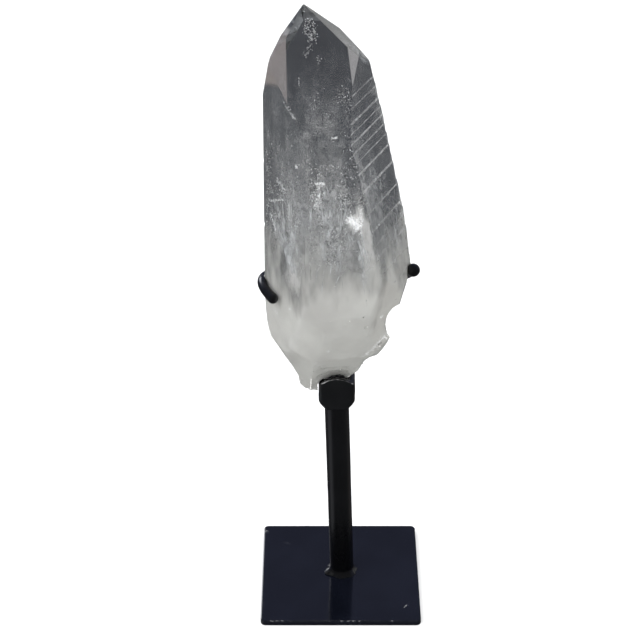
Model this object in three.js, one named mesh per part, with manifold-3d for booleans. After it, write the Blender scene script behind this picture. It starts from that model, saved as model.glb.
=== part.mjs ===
// Clear quartz point held on a small hand-made steel stand.
// Millimetres, +Z up, the viewer looks along +Y. The origin is the centre of the base plate's underside.

import * as THREE from 'three';
import { mergeVertices } from 'three/addons/utils/BufferGeometryUtils.js';
import Module from 'manifold-3d';

const wasm = await Module();
wasm.setup();

// Stand
const PLATE_SIDE = 80;
const PLATE_THICKNESS = 3;
const PLATE_CORNER_RADIUS = 2.5;
const PLATE_EDGE_BEVEL = 0.4;
const POST_RADIUS = 6;
const POST_FOOT = [0.9, 2];
const POST_TOP = [-2.2, 2];
const WELD_RADIUS = 8.2;
const WELD_HEIGHT = 3;
const SPATTER_RADII = [2.4, 2, 2.2];
const SPATTER_FORWARD = 2.6;
const SPATTER_HEIGHT = 1.2;
const SEAT_WIDTH = 18;
const SEAT_DEPTH = 18;
const SEAT_BOTTOM = 106;
const SEAT_SIDE_TOP = 120;
const SEAT_ARCH_RISE = 4;
const SEAT_CHAMFER = 4;
const SEAT_WALL = 2.4;
const SEAT_FLOOR = 4.5;
const WIRE_RADIUS = 2.45;
const LEFT_TIP_RADIUS = 2.6;
const RIGHT_TIP_RADIUS = 3.3;
const WIRE_SIDES = 8;
const WIRE_STEPS = 34;
const ARM_WELD_RADIUS = 3.2;
const ARM_WELD_FLATTENING = 0.75;
const GAP = 0.3;

// Crystal: face directions in degrees. The azimuth turns from the viewer towards +X, and the rise is how far
// a face's outward normal points above the horizontal.
const RHOMB_RISE = 38.2;
const BLOCK = 400;
const CUTTER_REACH = 80;

// Notches broken out of the crystal's right edge, all of them along one slanting direction
const NOTCH_SLANT = 31;
const NOTCHES = [
  { at: [28.5, 5, 148.8], radii: [8.4, 46, 9], detail: 36 },
  { at: [16.2, 3, 123.2], radii: [7.2, 40, 7.4], detail: 28 },
  { at: [32.4, 8, 173.4], radii: [3.2, 12, 3.3], detail: 18 },
];

// Shallow dishes of the broken root: under its front, at its front right and left, then round the back
const ROOT_DISHES = [
  { at: [-1, -18.6, 120], radii: [17, 17.4, 12], turn: 0 },
  { at: [18, -25.5, 133], radii: [12, 12, 12], turn: 30 },
  { at: [-33.5, -21, 132], radii: [13, 14, 16], turn: -40 },
  { at: [-44, 16, 136], radii: [13, 20, 20], turn: 0 },
  { at: [30, 22, 142], radii: [15, 15, 19], turn: 20 },
  { at: [-4, 39, 144], radii: [20, 17, 24], turn: 0 },
  { at: [-30, 33, 148], radii: [14, 15, 17], turn: 15 },
  { at: [12, 34, 152], radii: [14, 13, 14], turn: 0 },
];

// Small chips knocked out of the edges, from the right shoulder round to the apex
const CHIP_DETAIL = 11;
const CHIPS = [
  { at: [14.4, 9.8, 279.4], radii: [1.6, 2.4, 1.9], turn: 20 },
  { at: [-25.6, 3.6, 295.6], radii: [1.3, 1.6, 1.5], turn: 0 },
  { at: [1.9, -25, 262.4], radii: [2.2, 1.5, 1.7], turn: 15 },
  { at: [-16.9, -26.2, 232], radii: [1.4, 1.7, 2.6], turn: 0 },
  { at: [-37.9, 3.4, 236], radii: [1.9, 2.1, 2.8], turn: 0 },
  { at: [-37.6, 3.2, 203], radii: [1.7, 1.8, 2.2], turn: 0 },
  { at: [11.6, -24.6, 226], radii: [1.6, 2.2, 2.2], turn: 0 },
  { at: [-19, 16.4, 308.8], radii: [1.7, 1.9, 2.1], turn: 0 },
];

const UP = new THREE.Vector3(0, 0, 1);
const radians = THREE.MathUtils.degToRad;
const point = (x, y, z) => new THREE.Vector3(x, y, z);

const CRYSTAL_MIDDLE = point(-8, 2, 200);

// Corner points of the crystal
const APEX = point(-17.8, 15.6, 307.2);
const SHIELD_FOOT = point(-16.6, -25.1, 255.4);
const SHIELD_LEFT = point(-25.5, 5, 294.7);
const SHIELD_LEFT_LOW = point(-24.8, -14.2, 270.4);
const SHIELD_RIGHT = point(1.6, 4.5, 291.1);
const SHIELD_RIGHT_LOW = point(4.1, -8.1, 274.9);
const SHOULDER_LEFT_HIGH = point(-27.8, 8.9, 295);
const SHOULDER_LEFT_MIDDLE = point(-32.8, 9.1, 284.4);
const SHOULDER_LEFT_LOW = point(-35.8, 6.2, 274.9);
const SHOULDER_RIGHT_HIGH = point(-1.3, 24.6, 292.2);
const SHOULDER_RIGHT_MIDDLE = point(9.9, 14.9, 284);
const SHOULDER_RIGHT_LOW = point(14.2, 10.4, 277.4);
const EDGE_LEFT = point(-36.4, 3.2, 215);
const EDGE_FRONT_LEFT_LOW = point(-15.2, -25, 200);
const ROOT_RIGHT_HIGH = [point(32.6, 5, 182), point(32.3, 4, 178.6), point(26.9, -9, 167)];
const ROOT_RIGHT = [
  point(32, 6, 174.4), point(22.9, -2, 142.7), point(18.8, -3, 138.6), point(6.8, 0, 122.8),
];
const ROOT_LEFT = [point(-36.8, 3, 166), point(-35.9, 3, 151.3), point(-34.4, 3, 143), point(-21.2, 3, 121)];
const LOBE_LEFT = [point(-21.2, 0, 123), point(-20.5, 0, 118.4), point(-18.4, 0, 115.8)];
const LOBE_SIZE = [12.5, 18, 13];
const LOBE_MIDDLE = [-15.25, 0, 119.75];

/** Turns a closed three.js geometry into a solid that can be joined and cut. */
function solidOf(geometry) {
  const bare = geometry.index ? geometry.toNonIndexed() : geometry.clone();
  bare.deleteAttribute('normal');
  bare.deleteAttribute('uv');
  const merged = mergeVertices(bare, 1e-4);
  return new wasm.Manifold(new wasm.Mesh({
    numProp: 3,
    vertProperties: Float32Array.from(merged.attributes.position.array),
    triVerts: Uint32Array.from(merged.index.array),
  }));
}

/** Turns a solid back into a three.js geometry. */
function geometryOf(solid) {
  const mesh = solid.getMesh();
  const geometry = new THREE.BufferGeometry();
  geometry.setAttribute('position', new THREE.BufferAttribute(mesh.vertProperties, 3));
  geometry.setIndex(new THREE.BufferAttribute(mesh.triVerts, 1));
  return geometry;
}

/** Unit vector of an azimuth and a rise, both in degrees. */
function direction(azimuth, rise) {
  const flat = Math.cos(radians(rise));
  return point(
    Math.sin(radians(azimuth)) * flat,
    -Math.cos(radians(azimuth)) * flat,
    Math.sin(radians(rise)),
  );
}

/** A face given by its direction and a point on it. */
function face(azimuth, rise, through) {
  return new THREE.Plane().setFromNormalAndCoplanarPoint(direction(azimuth, rise), through);
}

/** A face through two points, whose outward normal keeps the given azimuth. */
function hingedFace(a, b, azimuth) {
  const line = b.clone().sub(a).normalize();
  const flat = direction(azimuth, 0);
  const rise = Math.atan2(-flat.dot(line), line.z);
  const normal = flat.multiplyScalar(Math.cos(rise)).addScaledVector(UP, Math.sin(rise));
  if (normal.dot(direction(azimuth, 0)) < 0) normal.negate();
  return new THREE.Plane().setFromNormalAndCoplanarPoint(normal, a);
}

/** A face through three points, pointing away from the crystal's middle. */
function facetThrough(a, b, c) {
  const plane = new THREE.Plane().setFromCoplanarPoints(a, b, c);
  return plane.distanceToPoint(CRYSTAL_MIDDLE) > 0 ? plane.negate() : plane;
}

/** Cuts away all that lies outside a face. */
function trimBeyond(solid, plane) {
  const block = new THREE.BoxGeometry(BLOCK, BLOCK, BLOCK);
  const centre = plane.projectPoint(CRYSTAL_MIDDLE, point(0, 0, 0)).addScaledVector(plane.normal, BLOCK / 2);
  const turn = new THREE.Quaternion().setFromUnitVectors(UP, plane.normal);
  block.applyQuaternion(turn);
  block.translate(centre.x, centre.y, centre.z);
  return solid.subtract(solidOf(block));
}

/** Reads a profile of [height, distance out] points at a height. */
function profileAt(profile, height) {
  const next = profile.findIndex(([top]) => top >= height);
  const [lowHeight, lowOut] = profile[next - 1];
  const [highHeight, highOut] = profile[next];
  return lowOut + ((highOut - lowOut) * (height - lowHeight)) / (highHeight - lowHeight);
}

/**
 * A cutter that leaves a prism face built of growth steps. The profile is the face's mean distance out at
 * each height. At every ledge, [height, depth], the face goes in by the depth along a narrow rhomb face.
 */
function growthStepCutter({ azimuth, profile, ledges, tiltAlong }) {
  const [bottom, bottomOut] = profile[0];
  const [top, topOut] = profile[profile.length - 1];
  const ledgeSlope = 1 / Math.tan(radians(RHOMB_RISE));
  const outline = new THREE.Shape();
  outline.moveTo(CUTTER_REACH, bottom);
  outline.lineTo(bottomOut, bottom);
  for (const [height, depth] of ledges) {
    const mean = profileAt(profile, height);
    outline.lineTo(mean + depth / 2, height);
    outline.lineTo(mean - depth / 2, height + depth * ledgeSlope);
  }
  outline.lineTo(topOut, top);
  outline.lineTo(CUTTER_REACH, top);
  outline.closePath();
  const cutter = new THREE.ExtrudeGeometry(outline, { depth: 2 * CUTTER_REACH, bevelEnabled: false });
  cutter.translate(0, 0, -CUTTER_REACH);
  // The outline's x becomes the outward direction, its y the height, and the extrusion runs along the face.
  const outward = direction(azimuth, 0);
  const along = new THREE.Vector3().crossVectors(outward, UP);
  cutter.applyMatrix4(new THREE.Matrix4().makeBasis(outward, UP, along));
  const middle = (bottom + top) / 2;
  cutter.translate(0, 0, -middle);
  cutter.applyQuaternion(new THREE.Quaternion().setFromAxisAngle(outward, radians(tiltAlong)));
  cutter.translate(0, 0, middle);
  return solidOf(cutter);
}

/**
 * A shallow dish that a conchoidal fracture leaves, as the flattened ball that cuts it. The ball can be
 * tipped forward by a slant before it is turned about the upright.
 */
function scallop({ at, radii, turn = 0, detail = 26, slant = 0 }) {
  const ball = new THREE.SphereGeometry(1, detail, Math.round(detail * 0.6));
  ball.scale(...radii);
  ball.rotateX(-radians(slant));
  ball.rotateZ(radians(turn));
  ball.translate(...at);
  return solidOf(ball);
}

/** Faces through the pairs of neighbours in a row of points down one side of the root. */
function sideFaces(points, azimuths) {
  return azimuths.map((azimuth, i) => hingedFace(points[i], points[i + 1], azimuth));
}

/** The lump of the root that hangs beside the seat. */
function buildLobe() {
  const start = new THREE.BoxGeometry(...LOBE_SIZE);
  start.translate(...LOBE_MIDDLE);
  const faces = [
    ...sideFaces(LOBE_LEFT, [-82, -74]),
    face(-50, -10, point(-19.6, -3, 119)),
    face(-12, -16, point(-15, -3.8, 119)),
    face(-20, -52, point(-17.5, -2, 115.9)),
    face(-128, -12, point(-20.3, 0.5, 118)),
    face(172, -30, point(-15, 6, 118)),
    face(-90, -72, LOBE_LEFT[2]),
  ];
  return faces.reduce(trimBeyond, solidOf(start));
}

/** The crystal. */
function buildQuartz() {
  const start = new THREE.BoxGeometry(120, 120, 220);
  start.translate(-5, 0, 210);
  let quartz = solidOf(start);

  const prismFaces = [
    face(5, 0, SHIELD_FOOT),
    hingedFace(SHIELD_FOOT, EDGE_FRONT_LEFT_LOW, -26),
    face(-55, 0, EDGE_LEFT),
    face(-113, 0.4, EDGE_LEFT),
    face(186, 0.6, point(-8, 27, 200)),
  ];
  const terminationFaces = [
    face(5, RHOMB_RISE, SHIELD_FOOT),
    facetThrough(APEX, SHIELD_LEFT, SHOULDER_LEFT_HIGH),
    hingedFace(SHIELD_LEFT, SHIELD_LEFT_LOW, -58),
    hingedFace(APEX, SHOULDER_LEFT_HIGH, -106),
    hingedFace(SHOULDER_LEFT_HIGH, SHOULDER_LEFT_MIDDLE, -122),
    hingedFace(SHOULDER_LEFT_MIDDLE, SHOULDER_LEFT_LOW, -116),
    hingedFace(APEX, SHIELD_RIGHT, 97),
    hingedFace(SHIELD_RIGHT, SHIELD_RIGHT_LOW, 42),
    hingedFace(APEX, SHOULDER_RIGHT_HIGH, 150),
    hingedFace(SHOULDER_RIGHT_HIGH, SHOULDER_RIGHT_MIDDLE, 122),
    hingedFace(SHOULDER_RIGHT_MIDDLE, SHOULDER_RIGHT_LOW, 112),
    face(183, 36, point(APEX.x, APEX.y, APEX.z - 0.5)),
  ];
  const rootFaces = [
    ...sideFaces(ROOT_RIGHT_HIGH, [100, 78]),
    ...sideFaces(ROOT_RIGHT, [90, 80, 84]),
    ...sideFaces(ROOT_LEFT, [-84, -82, -70]),
    face(6, -9, point(-4, -25.2, 174)),
    face(8, -20, point(-2, -23.6, 160)),
    face(10, -32, point(-1, -20.2, 147)),
    face(-26, -12, point(-16, -23, 168)),
    face(-34, -26, point(-20, -19.6, 150)),
    face(48, -10, point(20, -14.5, 165)),
    face(52, -22, point(21, -11, 150)),
    face(176, -20, point(-5, 27, 168)),
    face(-128, -26, point(-30, 18, 160)),
    face(124, -28, point(26, 18, 166)),
    face(0, -90, point(0, 0, 114.6)),
  ];
  for (const plane of [...prismFaces, ...terminationFaces, ...rootFaces]) quartz = trimBeyond(quartz, plane);
  quartz = quartz.add(buildLobe());

  const stepped = [
    {
      azimuth: 66,
      profile: [[150, 33.8], [254, 12.9], [270, 7.9], [284, 4.6], [320, -2.8]],
      tiltAlong: 0.4,
      ledges: [
        [181, 0.2], [190, 0.2], [198.8, 0.45], [205, 0.2], [212, 0.5], [221, 0.35], [232, 0.6], [240.8, 0.5],
        [246.5, 0.2], [251.2, 0.35], [255.4, 0.55], [259.4, 0.2], [263, 0.55], [268.5, 0.25], [273, 0.3],
      ],
    },
    {
      azimuth: 127,
      profile: [[150, 28.9], [205.2, 28.8], [254, 20.5], [272, 19.4], [320, 11.4]],
      tiltAlong: 0.8,
      ledges: [
        [186, 0.3], [200, 0.5], [209, 0.8], [223, 0.9], [236, 0.5], [247, 0.9], [260, 0.8], [270, 0.6],
      ],
    },
    {
      azimuth: -113,
      profile: [[150, 35.4], [300, 34.6]],
      tiltAlong: -1,
      ledges: [[190, 0.3], [222, 0.4], [247, 0.3]],
    },
  ];
  for (const steps of stepped) quartz = quartz.subtract(growthStepCutter(steps));

  const notches = NOTCHES.map((notch) => ({ ...notch, slant: NOTCH_SLANT }));
  const chips = CHIPS.map((chip) => ({ ...chip, detail: CHIP_DETAIL }));
  for (const dish of [...notches, ...ROOT_DISHES, ...chips]) quartz = quartz.subtract(scallop(dish));
  return quartz;
}

/** Cuts a solid back so that it keeps a small gap to its neighbour on every side. */
function clearOf(solid, neighbour) {
  const shifts = [[0, 0, 0], [0, 0, 1], [0, 0, -1], [1, 0, 0], [-1, 0, 0], [0, 1, 0], [0, -1, 0]];
  return shifts.reduce(
    (left, shift) => left.subtract(neighbour.translate(shift.map((step) => step * GAP))),
    solid,
  );
}

/** The post, square to nothing: it leans a little to the left as it goes up. */
function buildPost() {
  const bottom = PLATE_THICKNESS + GAP;
  const top = SEAT_BOTTOM - GAP;
  const foot = point(POST_FOOT[0], POST_FOOT[1], bottom);
  const head = point(POST_TOP[0], POST_TOP[1], top);
  const axis = head.clone().sub(foot);
  const middle = foot.clone().add(head).multiplyScalar(0.5);
  const trimAllowance = 4;
  const bar = new THREE.CylinderGeometry(POST_RADIUS, POST_RADIUS, axis.length() + trimAllowance, 48);
  bar.applyQuaternion(new THREE.Quaternion().setFromUnitVectors(point(0, 1, 0), axis.clone().normalize()));
  bar.translate(middle.x, middle.y, middle.z);
  const weldProfile = [
    [0, 0], [WELD_RADIUS, 0], [WELD_RADIUS - 0.4, 0.8], [WELD_RADIUS - 1.3, 1.7],
    [POST_RADIUS - 0.2, WELD_HEIGHT], [0, WELD_HEIGHT],
  ].map(([r, h]) => new THREE.Vector2(r, h));
  const weld = new THREE.LatheGeometry(weldProfile, 40);
  weld.rotateX(Math.PI / 2);
  weld.translate(foot.x, foot.y, bottom);
  const spatter = new THREE.SphereGeometry(1, 14, 10);
  spatter.scale(...SPATTER_RADII);
  spatter.translate(foot.x - POST_RADIUS - 0.4, foot.y - SPATTER_FORWARD, bottom + SPATTER_HEIGHT);
  let post = solidOf(bar).add(solidOf(weld)).add(solidOf(spatter));
  post = trimBeyond(post, face(0, -90, point(0, 0, bottom)));
  return trimBeyond(post, face(0, 90, point(0, 0, top)));
}

/** The seat: a thick-walled steel cup with an arched front, chamfered below. */
function buildSeat() {
  const half = SEAT_WIDTH / 2;
  const front = new THREE.Shape();
  front.moveTo(-half + SEAT_CHAMFER * 0.7, SEAT_BOTTOM);
  front.lineTo(half - SEAT_CHAMFER * 0.7, SEAT_BOTTOM);
  front.lineTo(half, SEAT_BOTTOM + SEAT_CHAMFER);
  front.lineTo(half, SEAT_SIDE_TOP);
  front.quadraticCurveTo(0, SEAT_SIDE_TOP + 2 * SEAT_ARCH_RISE, -half, SEAT_SIDE_TOP);
  front.lineTo(-half, SEAT_BOTTOM + SEAT_CHAMFER);
  front.closePath();
  const block = new THREE.ExtrudeGeometry(front, {
    depth: SEAT_DEPTH - 1.2, bevelEnabled: true, bevelSize: 0.6, bevelThickness: 0.6, bevelOffset: -0.6,
    bevelSegments: 2, curveSegments: 10,
  });
  block.rotateX(Math.PI / 2);
  block.translate(POST_TOP[0], POST_TOP[1] + SEAT_DEPTH / 2 - 0.6, 0);
  const pocket = pocketGeometry(SEAT_BOTTOM + SEAT_FLOOR, 0);
  return solidOf(block).subtract(solidOf(pocket));
}

/** The hollow of the seat, from a height upwards, drawn in by a margin. */
function pocketGeometry(from, margin) {
  const width = SEAT_WIDTH - 2 * (SEAT_WALL + margin);
  const depth = SEAT_DEPTH - 2 * (SEAT_WALL + margin);
  const height = 40;
  const pocket = new THREE.BoxGeometry(width, depth, height);
  pocket.translate(POST_TOP[0], POST_TOP[1], from + margin + height / 2);
  return pocket;
}

/** The putty: a plug in the seat with a lumpy rim, highest where it is pressed up in front of the root. */
function buildPutty(quartz) {
  const plugTop = 122;
  const frontRise = 1.6;
  const hollow = solidOf(pocketGeometry(SEAT_BOTTOM + SEAT_FLOOR, GAP));
  let putty = trimBeyond(hollow, face(0, 90, point(0, 0, plugTop)));
  const lumps = 13;
  for (let i = 0; i < lumps; i += 1) {
    const turn = (i / lumps) * 2 * Math.PI;
    const wobble = Math.sin(i * 12.9898) * 0.5;
    const forward = Math.max(0, -Math.sin(turn + 0.35));
    const lump = new THREE.IcosahedronGeometry(1.9 + 0.5 * wobble, 1);
    lump.scale(1, 1, 1.1 + 0.4 * Math.sin(i * 4.7));
    lump.rotateZ(i);
    lump.rotateX(0.7 * wobble);
    lump.translate(
      POST_TOP[0] + (5 + wobble) * Math.cos(turn),
      POST_TOP[1] + (5 + wobble) * Math.sin(turn),
      plugTop - 0.8 + 0.6 * wobble + frontRise * forward,
    );
    putty = putty.add(solidOf(lump));
  }
  return clearOf(putty.intersect(hollow), quartz);
}

/** A round wire bent along a smooth curve, with a weld blob at its root and a rounded tip. */
function buildArm(route, tipRadius) {
  const bend = new THREE.CatmullRomCurve3(route, false, 'centripetal');
  const section = new THREE.Shape();
  section.absarc(0, 0, WIRE_RADIUS, 0, 2 * Math.PI, false);
  const wire = new THREE.ExtrudeGeometry(section, {
    steps: WIRE_STEPS, extrudePath: bend, curveSegments: WIRE_SIDES, bevelEnabled: false,
  });
  const tip = new THREE.SphereGeometry(tipRadius, WIRE_SIDES, 8);
  const end = route[route.length - 1];
  tip.translate(end.x, end.y, end.z);
  const blob = new THREE.IcosahedronGeometry(ARM_WELD_RADIUS, 1);
  blob.scale(1, ARM_WELD_FLATTENING, 1);
  const root = route[0];
  blob.translate(root.x, root.y, root.z);
  return solidOf(wire).add(solidOf(tip)).add(solidOf(blob));
}

/** The square base plate with rounded corners and softened edges. */
function buildPlate() {
  const half = PLATE_SIDE / 2;
  const r = PLATE_CORNER_RADIUS;
  const square = new THREE.Shape();
  square.moveTo(-half + r, -half);
  square.lineTo(half - r, -half);
  square.absarc(half - r, -half + r, r, -Math.PI / 2, 0, false);
  square.lineTo(half, half - r);
  square.absarc(half - r, half - r, r, 0, Math.PI / 2, false);
  square.lineTo(-half + r, half);
  square.absarc(-half + r, half - r, r, Math.PI / 2, Math.PI, false);
  square.lineTo(-half, -half + r);
  square.absarc(-half + r, -half + r, r, Math.PI, 1.5 * Math.PI, false);
  const plate = new THREE.ExtrudeGeometry(square, {
    depth: PLATE_THICKNESS - 2 * PLATE_EDGE_BEVEL, bevelEnabled: true, bevelSize: PLATE_EDGE_BEVEL,
    bevelThickness: PLATE_EDGE_BEVEL, bevelOffset: -PLATE_EDGE_BEVEL, bevelSegments: 2, curveSegments: 6,
  });
  plate.translate(0, 0, PLATE_EDGE_BEVEL);
  return plate;
}

const seat = buildSeat();
const seatBack = POST_TOP[1] + SEAT_DEPTH / 2 + GAP;
const leftArm = buildArm([
  point(-7, seatBack + 2.5, 112),
  point(-9, seatBack + 4.5, 124),
  point(-16, 21, 138),
  point(-26, 25.5, 152),
  point(-32.5, 22, 162.5),
  point(-35.7, 12, 170.8),
  point(-37.4, 7.2, 171.8),
  point(-37.6, 2.4, 171.8),
  point(-36.5, -1.6, 171.2),
  point(-34.6, -4.8, 170.2),
  point(-32.6, -7.5, 169.3),
], LEFT_TIP_RADIUS);
const rightArm = buildArm([
  point(2, seatBack + 2.5, 112),
  point(4.5, seatBack + 4.5, 124),
  point(12, 22, 141),
  point(22.5, 24.5, 157),
  point(28.6, 17, 167.5),
  point(31.6, 10.5, 172.9),
  point(33.4, 6, 176.6),
  point(33.6, 2, 179.2),
], RIGHT_TIP_RADIUS);

// The arms bed in small nicks where they cross the crystal's sharp edges.
const quartz = [seat, leftArm, rightArm].reduce(clearOf, buildQuartz());

const blackPaint = { color: 0x17181c, roughness: 0.42, metalness: 0.1 };
const stand = new THREE.Group();
const piece = (name, geometry, finish) => {
  const mesh = new THREE.Mesh(geometry, new THREE.MeshStandardMaterial(finish));
  mesh.name = name;
  return mesh;
};
stand.add(piece('base_plate', buildPlate(), { color: 0x1b1c26, roughness: 0.35, metalness: 0.1 }));
stand.add(piece('post', geometryOf(buildPost()), blackPaint));
stand.add(piece('stone_seat', geometryOf(seat), blackPaint));
stand.add(piece('left_arm', geometryOf(leftArm), blackPaint));
stand.add(piece('right_arm', geometryOf(rightArm), blackPaint));
const putty = { color: 0x0c0c0d, roughness: 0.7, metalness: 0 };
stand.add(piece('seat_putty', geometryOf(buildPutty(quartz)), putty));

const model = new THREE.Group();
model.add(stand);
model.add(piece('quartz_point', geometryOf(quartz), { color: 0xc9ccce, roughness: 0.08, metalness: 0 }));

export default model;
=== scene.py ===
"""Looks of a clear quartz point with a milky root, held on a small black steel stand."""

import itertools
import logging
import math
from dataclasses import dataclass
from enum import Enum

import bmesh
import bpy
import numpy as np
from mathutils.bvhtree import BVHTree
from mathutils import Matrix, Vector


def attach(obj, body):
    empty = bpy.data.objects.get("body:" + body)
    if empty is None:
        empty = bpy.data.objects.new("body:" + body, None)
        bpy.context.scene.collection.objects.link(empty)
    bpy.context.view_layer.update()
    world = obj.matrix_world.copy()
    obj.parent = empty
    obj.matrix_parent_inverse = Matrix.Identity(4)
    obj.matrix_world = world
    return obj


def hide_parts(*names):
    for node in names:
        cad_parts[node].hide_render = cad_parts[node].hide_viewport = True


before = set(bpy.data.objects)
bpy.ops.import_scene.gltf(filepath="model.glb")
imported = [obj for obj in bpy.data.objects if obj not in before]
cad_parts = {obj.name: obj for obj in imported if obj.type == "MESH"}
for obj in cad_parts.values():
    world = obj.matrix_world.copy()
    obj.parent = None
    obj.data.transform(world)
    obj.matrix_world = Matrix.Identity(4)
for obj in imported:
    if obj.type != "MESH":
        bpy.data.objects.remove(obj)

LOG = logging.getLogger("quartz_on_stand")
MM = 0.001
Array = np.ndarray
Span = tuple[float, float]
Point = tuple[float, float, float]
Colour = tuple[float, float, float, float]
NO_LIGHT: Colour = (0.0, 0.0, 0.0, 1.0)
WHITE_LIGHT: Colour = (1.0, 1.0, 1.0, 1.0)

# Odd factors and bit masks that scramble the corners of the noise lattice
AXIS_FACTORS = (73856093, 19349663, 83492791)
SEED_FACTOR = 2654435761
MIX_FACTOR = 1274126177
LOW_31_BITS = 0x7FFFFFFF
LOW_24_BITS = 0xFFFFFF

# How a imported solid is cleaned: points nearer than this are one, and edges flatter than this go
WELD_REACH = 2e-6
FLAT_ANGLE = math.radians(0.4)
CUT_ROUNDS = 9

# Degrees that the crystal's faces are turned from straight ahead to the right, and that they lean back
FRONT = 5.0
LEFT = -55.0
RIGHT = 66.0
RIGHT_LEAN = 9.3
TIP_LEAN = 38.2

# How far a flake's two side corners lie from its middle, as shares of its half length
FLAKE_SIDES = (0.4, 0.5)

# Guards of the outline search: the least divisor, and how far a line piece reaches past its ends
TINY = 1e-9
SLACK = 0.001

# Least depth of the streaks, flakes and grains under the crystal's surface, in millimetres
LEAST_DEPTH = 0.1


class Slot(Enum):
    """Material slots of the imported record."""

    QUARTZ = "quartz"
    BLACK = "black_paint"
    PLATE = "plate_paint"
    PUTTY = "putty"


def lattice_value(corner: Array, seed: int) -> Array:
    """Gives a repeatable random value from -1 to 1 for each whole-number lattice corner.

    Args:
        corner: Whole-number corners, one row each.
        seed: Picks one of many unlike patterns.

    Returns:
        One value a row.
    """
    mixed = seed * SEED_FACTOR
    for axis, factor in enumerate(AXIS_FACTORS):
        mixed = mixed ^ corner[:, axis] * factor
    mixed = mixed & LOW_31_BITS
    mixed = ((mixed ^ (mixed >> 13)) * MIX_FACTOR) & LOW_31_BITS
    mixed = (mixed ^ (mixed >> 16)) & LOW_24_BITS
    return mixed / (LOW_24_BITS // 2) - 1.0


def lattice_noise(points: Array, cell: float, seed: int) -> Array:
    """Smooth noise: random corner values of a cubic lattice, eased between corners with 3t^2 - 2t^3.

    Args:
        points: Places to read, one row each.
        cell: Side of a lattice cell, in the points' unit.
        seed: Picks the pattern.

    Returns:
        Values from -1 to 1, one a row.
    """
    scaled = points / cell
    corner = np.floor(scaled).astype(np.int64)
    part = scaled - corner
    ease = part * part * (3.0 - 2.0 * part)
    total = np.zeros(len(points))
    for offset in itertools.product((0, 1), repeat=3):
        step = np.array(offset)
        weight = np.prod(np.where(step == 1, ease, 1.0 - ease), axis=1)
        total += weight * lattice_value(corner + step, seed)
    return total


def layered_noise(points: Array, cell: float, layers: int, seed: int) -> Array:
    """Sum of smooth noise layers, each with half the cell and half the strength of the one before.

    Args:
        points: Places to read, one row each.
        cell: Side of the largest lattice cell, in the points' unit.
        layers: How many layers are added.
        seed: Picks the pattern.

    Returns:
        One value a row.
    """
    total = np.zeros(len(points))
    for layer in range(layers):
        total += lattice_noise(points, cell / 2**layer, seed + 17 * layer) / 2**layer
    return total


def ease_between(value: Array, low: float, high: float) -> Array:
    """Rises from 0 at low to 1 at high along 3t^2 - 2t^3."""
    t = np.clip((value - low) / (high - low), 0.0, 1.0)
    return t * t * (3.0 - 2.0 * t)


def grid_faces(rows: int, columns: int, wrap: bool) -> Array:
    """Quads between neighbouring points of a grid stored row by row.

    Args:
        rows: Points along the first parameter.
        columns: Points along the second parameter.
        wrap: Whether the last column joins the first.

    Returns:
        Four point numbers a row.
    """
    across = np.arange(columns if wrap else columns - 1)
    beside = (across + 1) % columns
    first = np.arange(rows - 1)[:, None] * columns
    quads = np.stack(
        [first + across, first + beside, first + columns + beside, first + columns + across],
        axis=-1,
    )
    return quads.reshape(-1, 4)


def closed_tube(rings: int, sides: int) -> list[list[int]]:
    """Quads between the rings of a tube, and one flat face over its first ring and its last.

    Args:
        rings: Rings along the tube.
        sides: Points round a ring.

    Returns:
        Point numbers of each face.
    """
    faces = grid_faces(rings, sides, wrap=True).tolist()
    last = (rings - 1) * sides
    faces.append(list(reversed(range(sides))))
    faces.append(list(range(last, last + sides)))
    return faces


def new_object(name: str, mesh: bpy.types.Mesh) -> bpy.types.Object:
    """Makes an object of a mesh at the origin and links it to the scene.

    Args:
        name: The object's name.
        mesh: Its mesh.

    Returns:
        The new object.
    """
    piece = bpy.data.objects.new(name, mesh)
    bpy.context.collection.objects.link(piece)
    return piece


def new_piece(name: str, points: Array, faces: list | Array, smooth: bool = True) -> bpy.types.Object:
    """Makes a mesh object at the origin from points in metres.

    Args:
        name: The piece's name.
        points: Vertex places, one row each.
        faces: Vertex numbers of each face.
        smooth: Whether faces are shaded smoothly.

    Returns:
        The new object, linked to the scene.
    """
    mesh = bpy.data.meshes.new(name)
    mesh.from_pydata(points.tolist(), [], [list(map(int, face)) for face in faces])
    mesh.update()
    mesh.shade_smooth() if smooth else mesh.shade_flat()
    return new_object(name, mesh)


def join_parts(parts: list[tuple[Array, Array]]) -> tuple[Array, Array]:
    """Puts several point and quad arrays one after the other, with the quads renumbered.

    Args:
        parts: Points and quads of each part.

    Returns:
        All points, and all quads.
    """
    starts = np.cumsum([0] + [len(points) for points, _ in parts[:-1]])
    points = np.concatenate([points for points, _ in parts])
    faces = np.concatenate([quads + start for (_, quads), start in zip(parts, starts)])
    return points, faces


def place(piece: bpy.types.Object, finish: bpy.types.Material, slot: Slot, *nodes: str) -> None:
    """Gives a piece its finish, rides it on the one body and hides the solids it stands for.

    Args:
        piece: The finished piece.
        finish: Its material.
        slot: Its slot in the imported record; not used.
        nodes: The solids that it replaces, if any.
    """
    piece.data.materials.append(finish)
    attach(piece, "root")
    if nodes:
        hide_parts(*nodes)
    LOG.info("%s: %d faces", piece.name, len(piece.data.polygons))


def rows_of(mesh: bpy.types.Mesh, what: str) -> Array:
    """Reads one vector of every vertex of a mesh.

    Args:
        mesh: The mesh.
        what: Which vector: co is the place, and normal the normal.

    Returns:
        One vector a row.
    """
    flat = np.empty(len(mesh.vertices) * 3)
    mesh.vertices.foreach_get(what, flat)
    return flat.reshape(-1, 3)


def points_of(mesh: bpy.types.Mesh) -> Array:
    """Vertex places of a mesh, one row each."""
    return rows_of(mesh, "co")


def normals_of(mesh: bpy.types.Mesh) -> Array:
    """Vertex normals of a mesh, one row each."""
    return rows_of(mesh, "normal")


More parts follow.
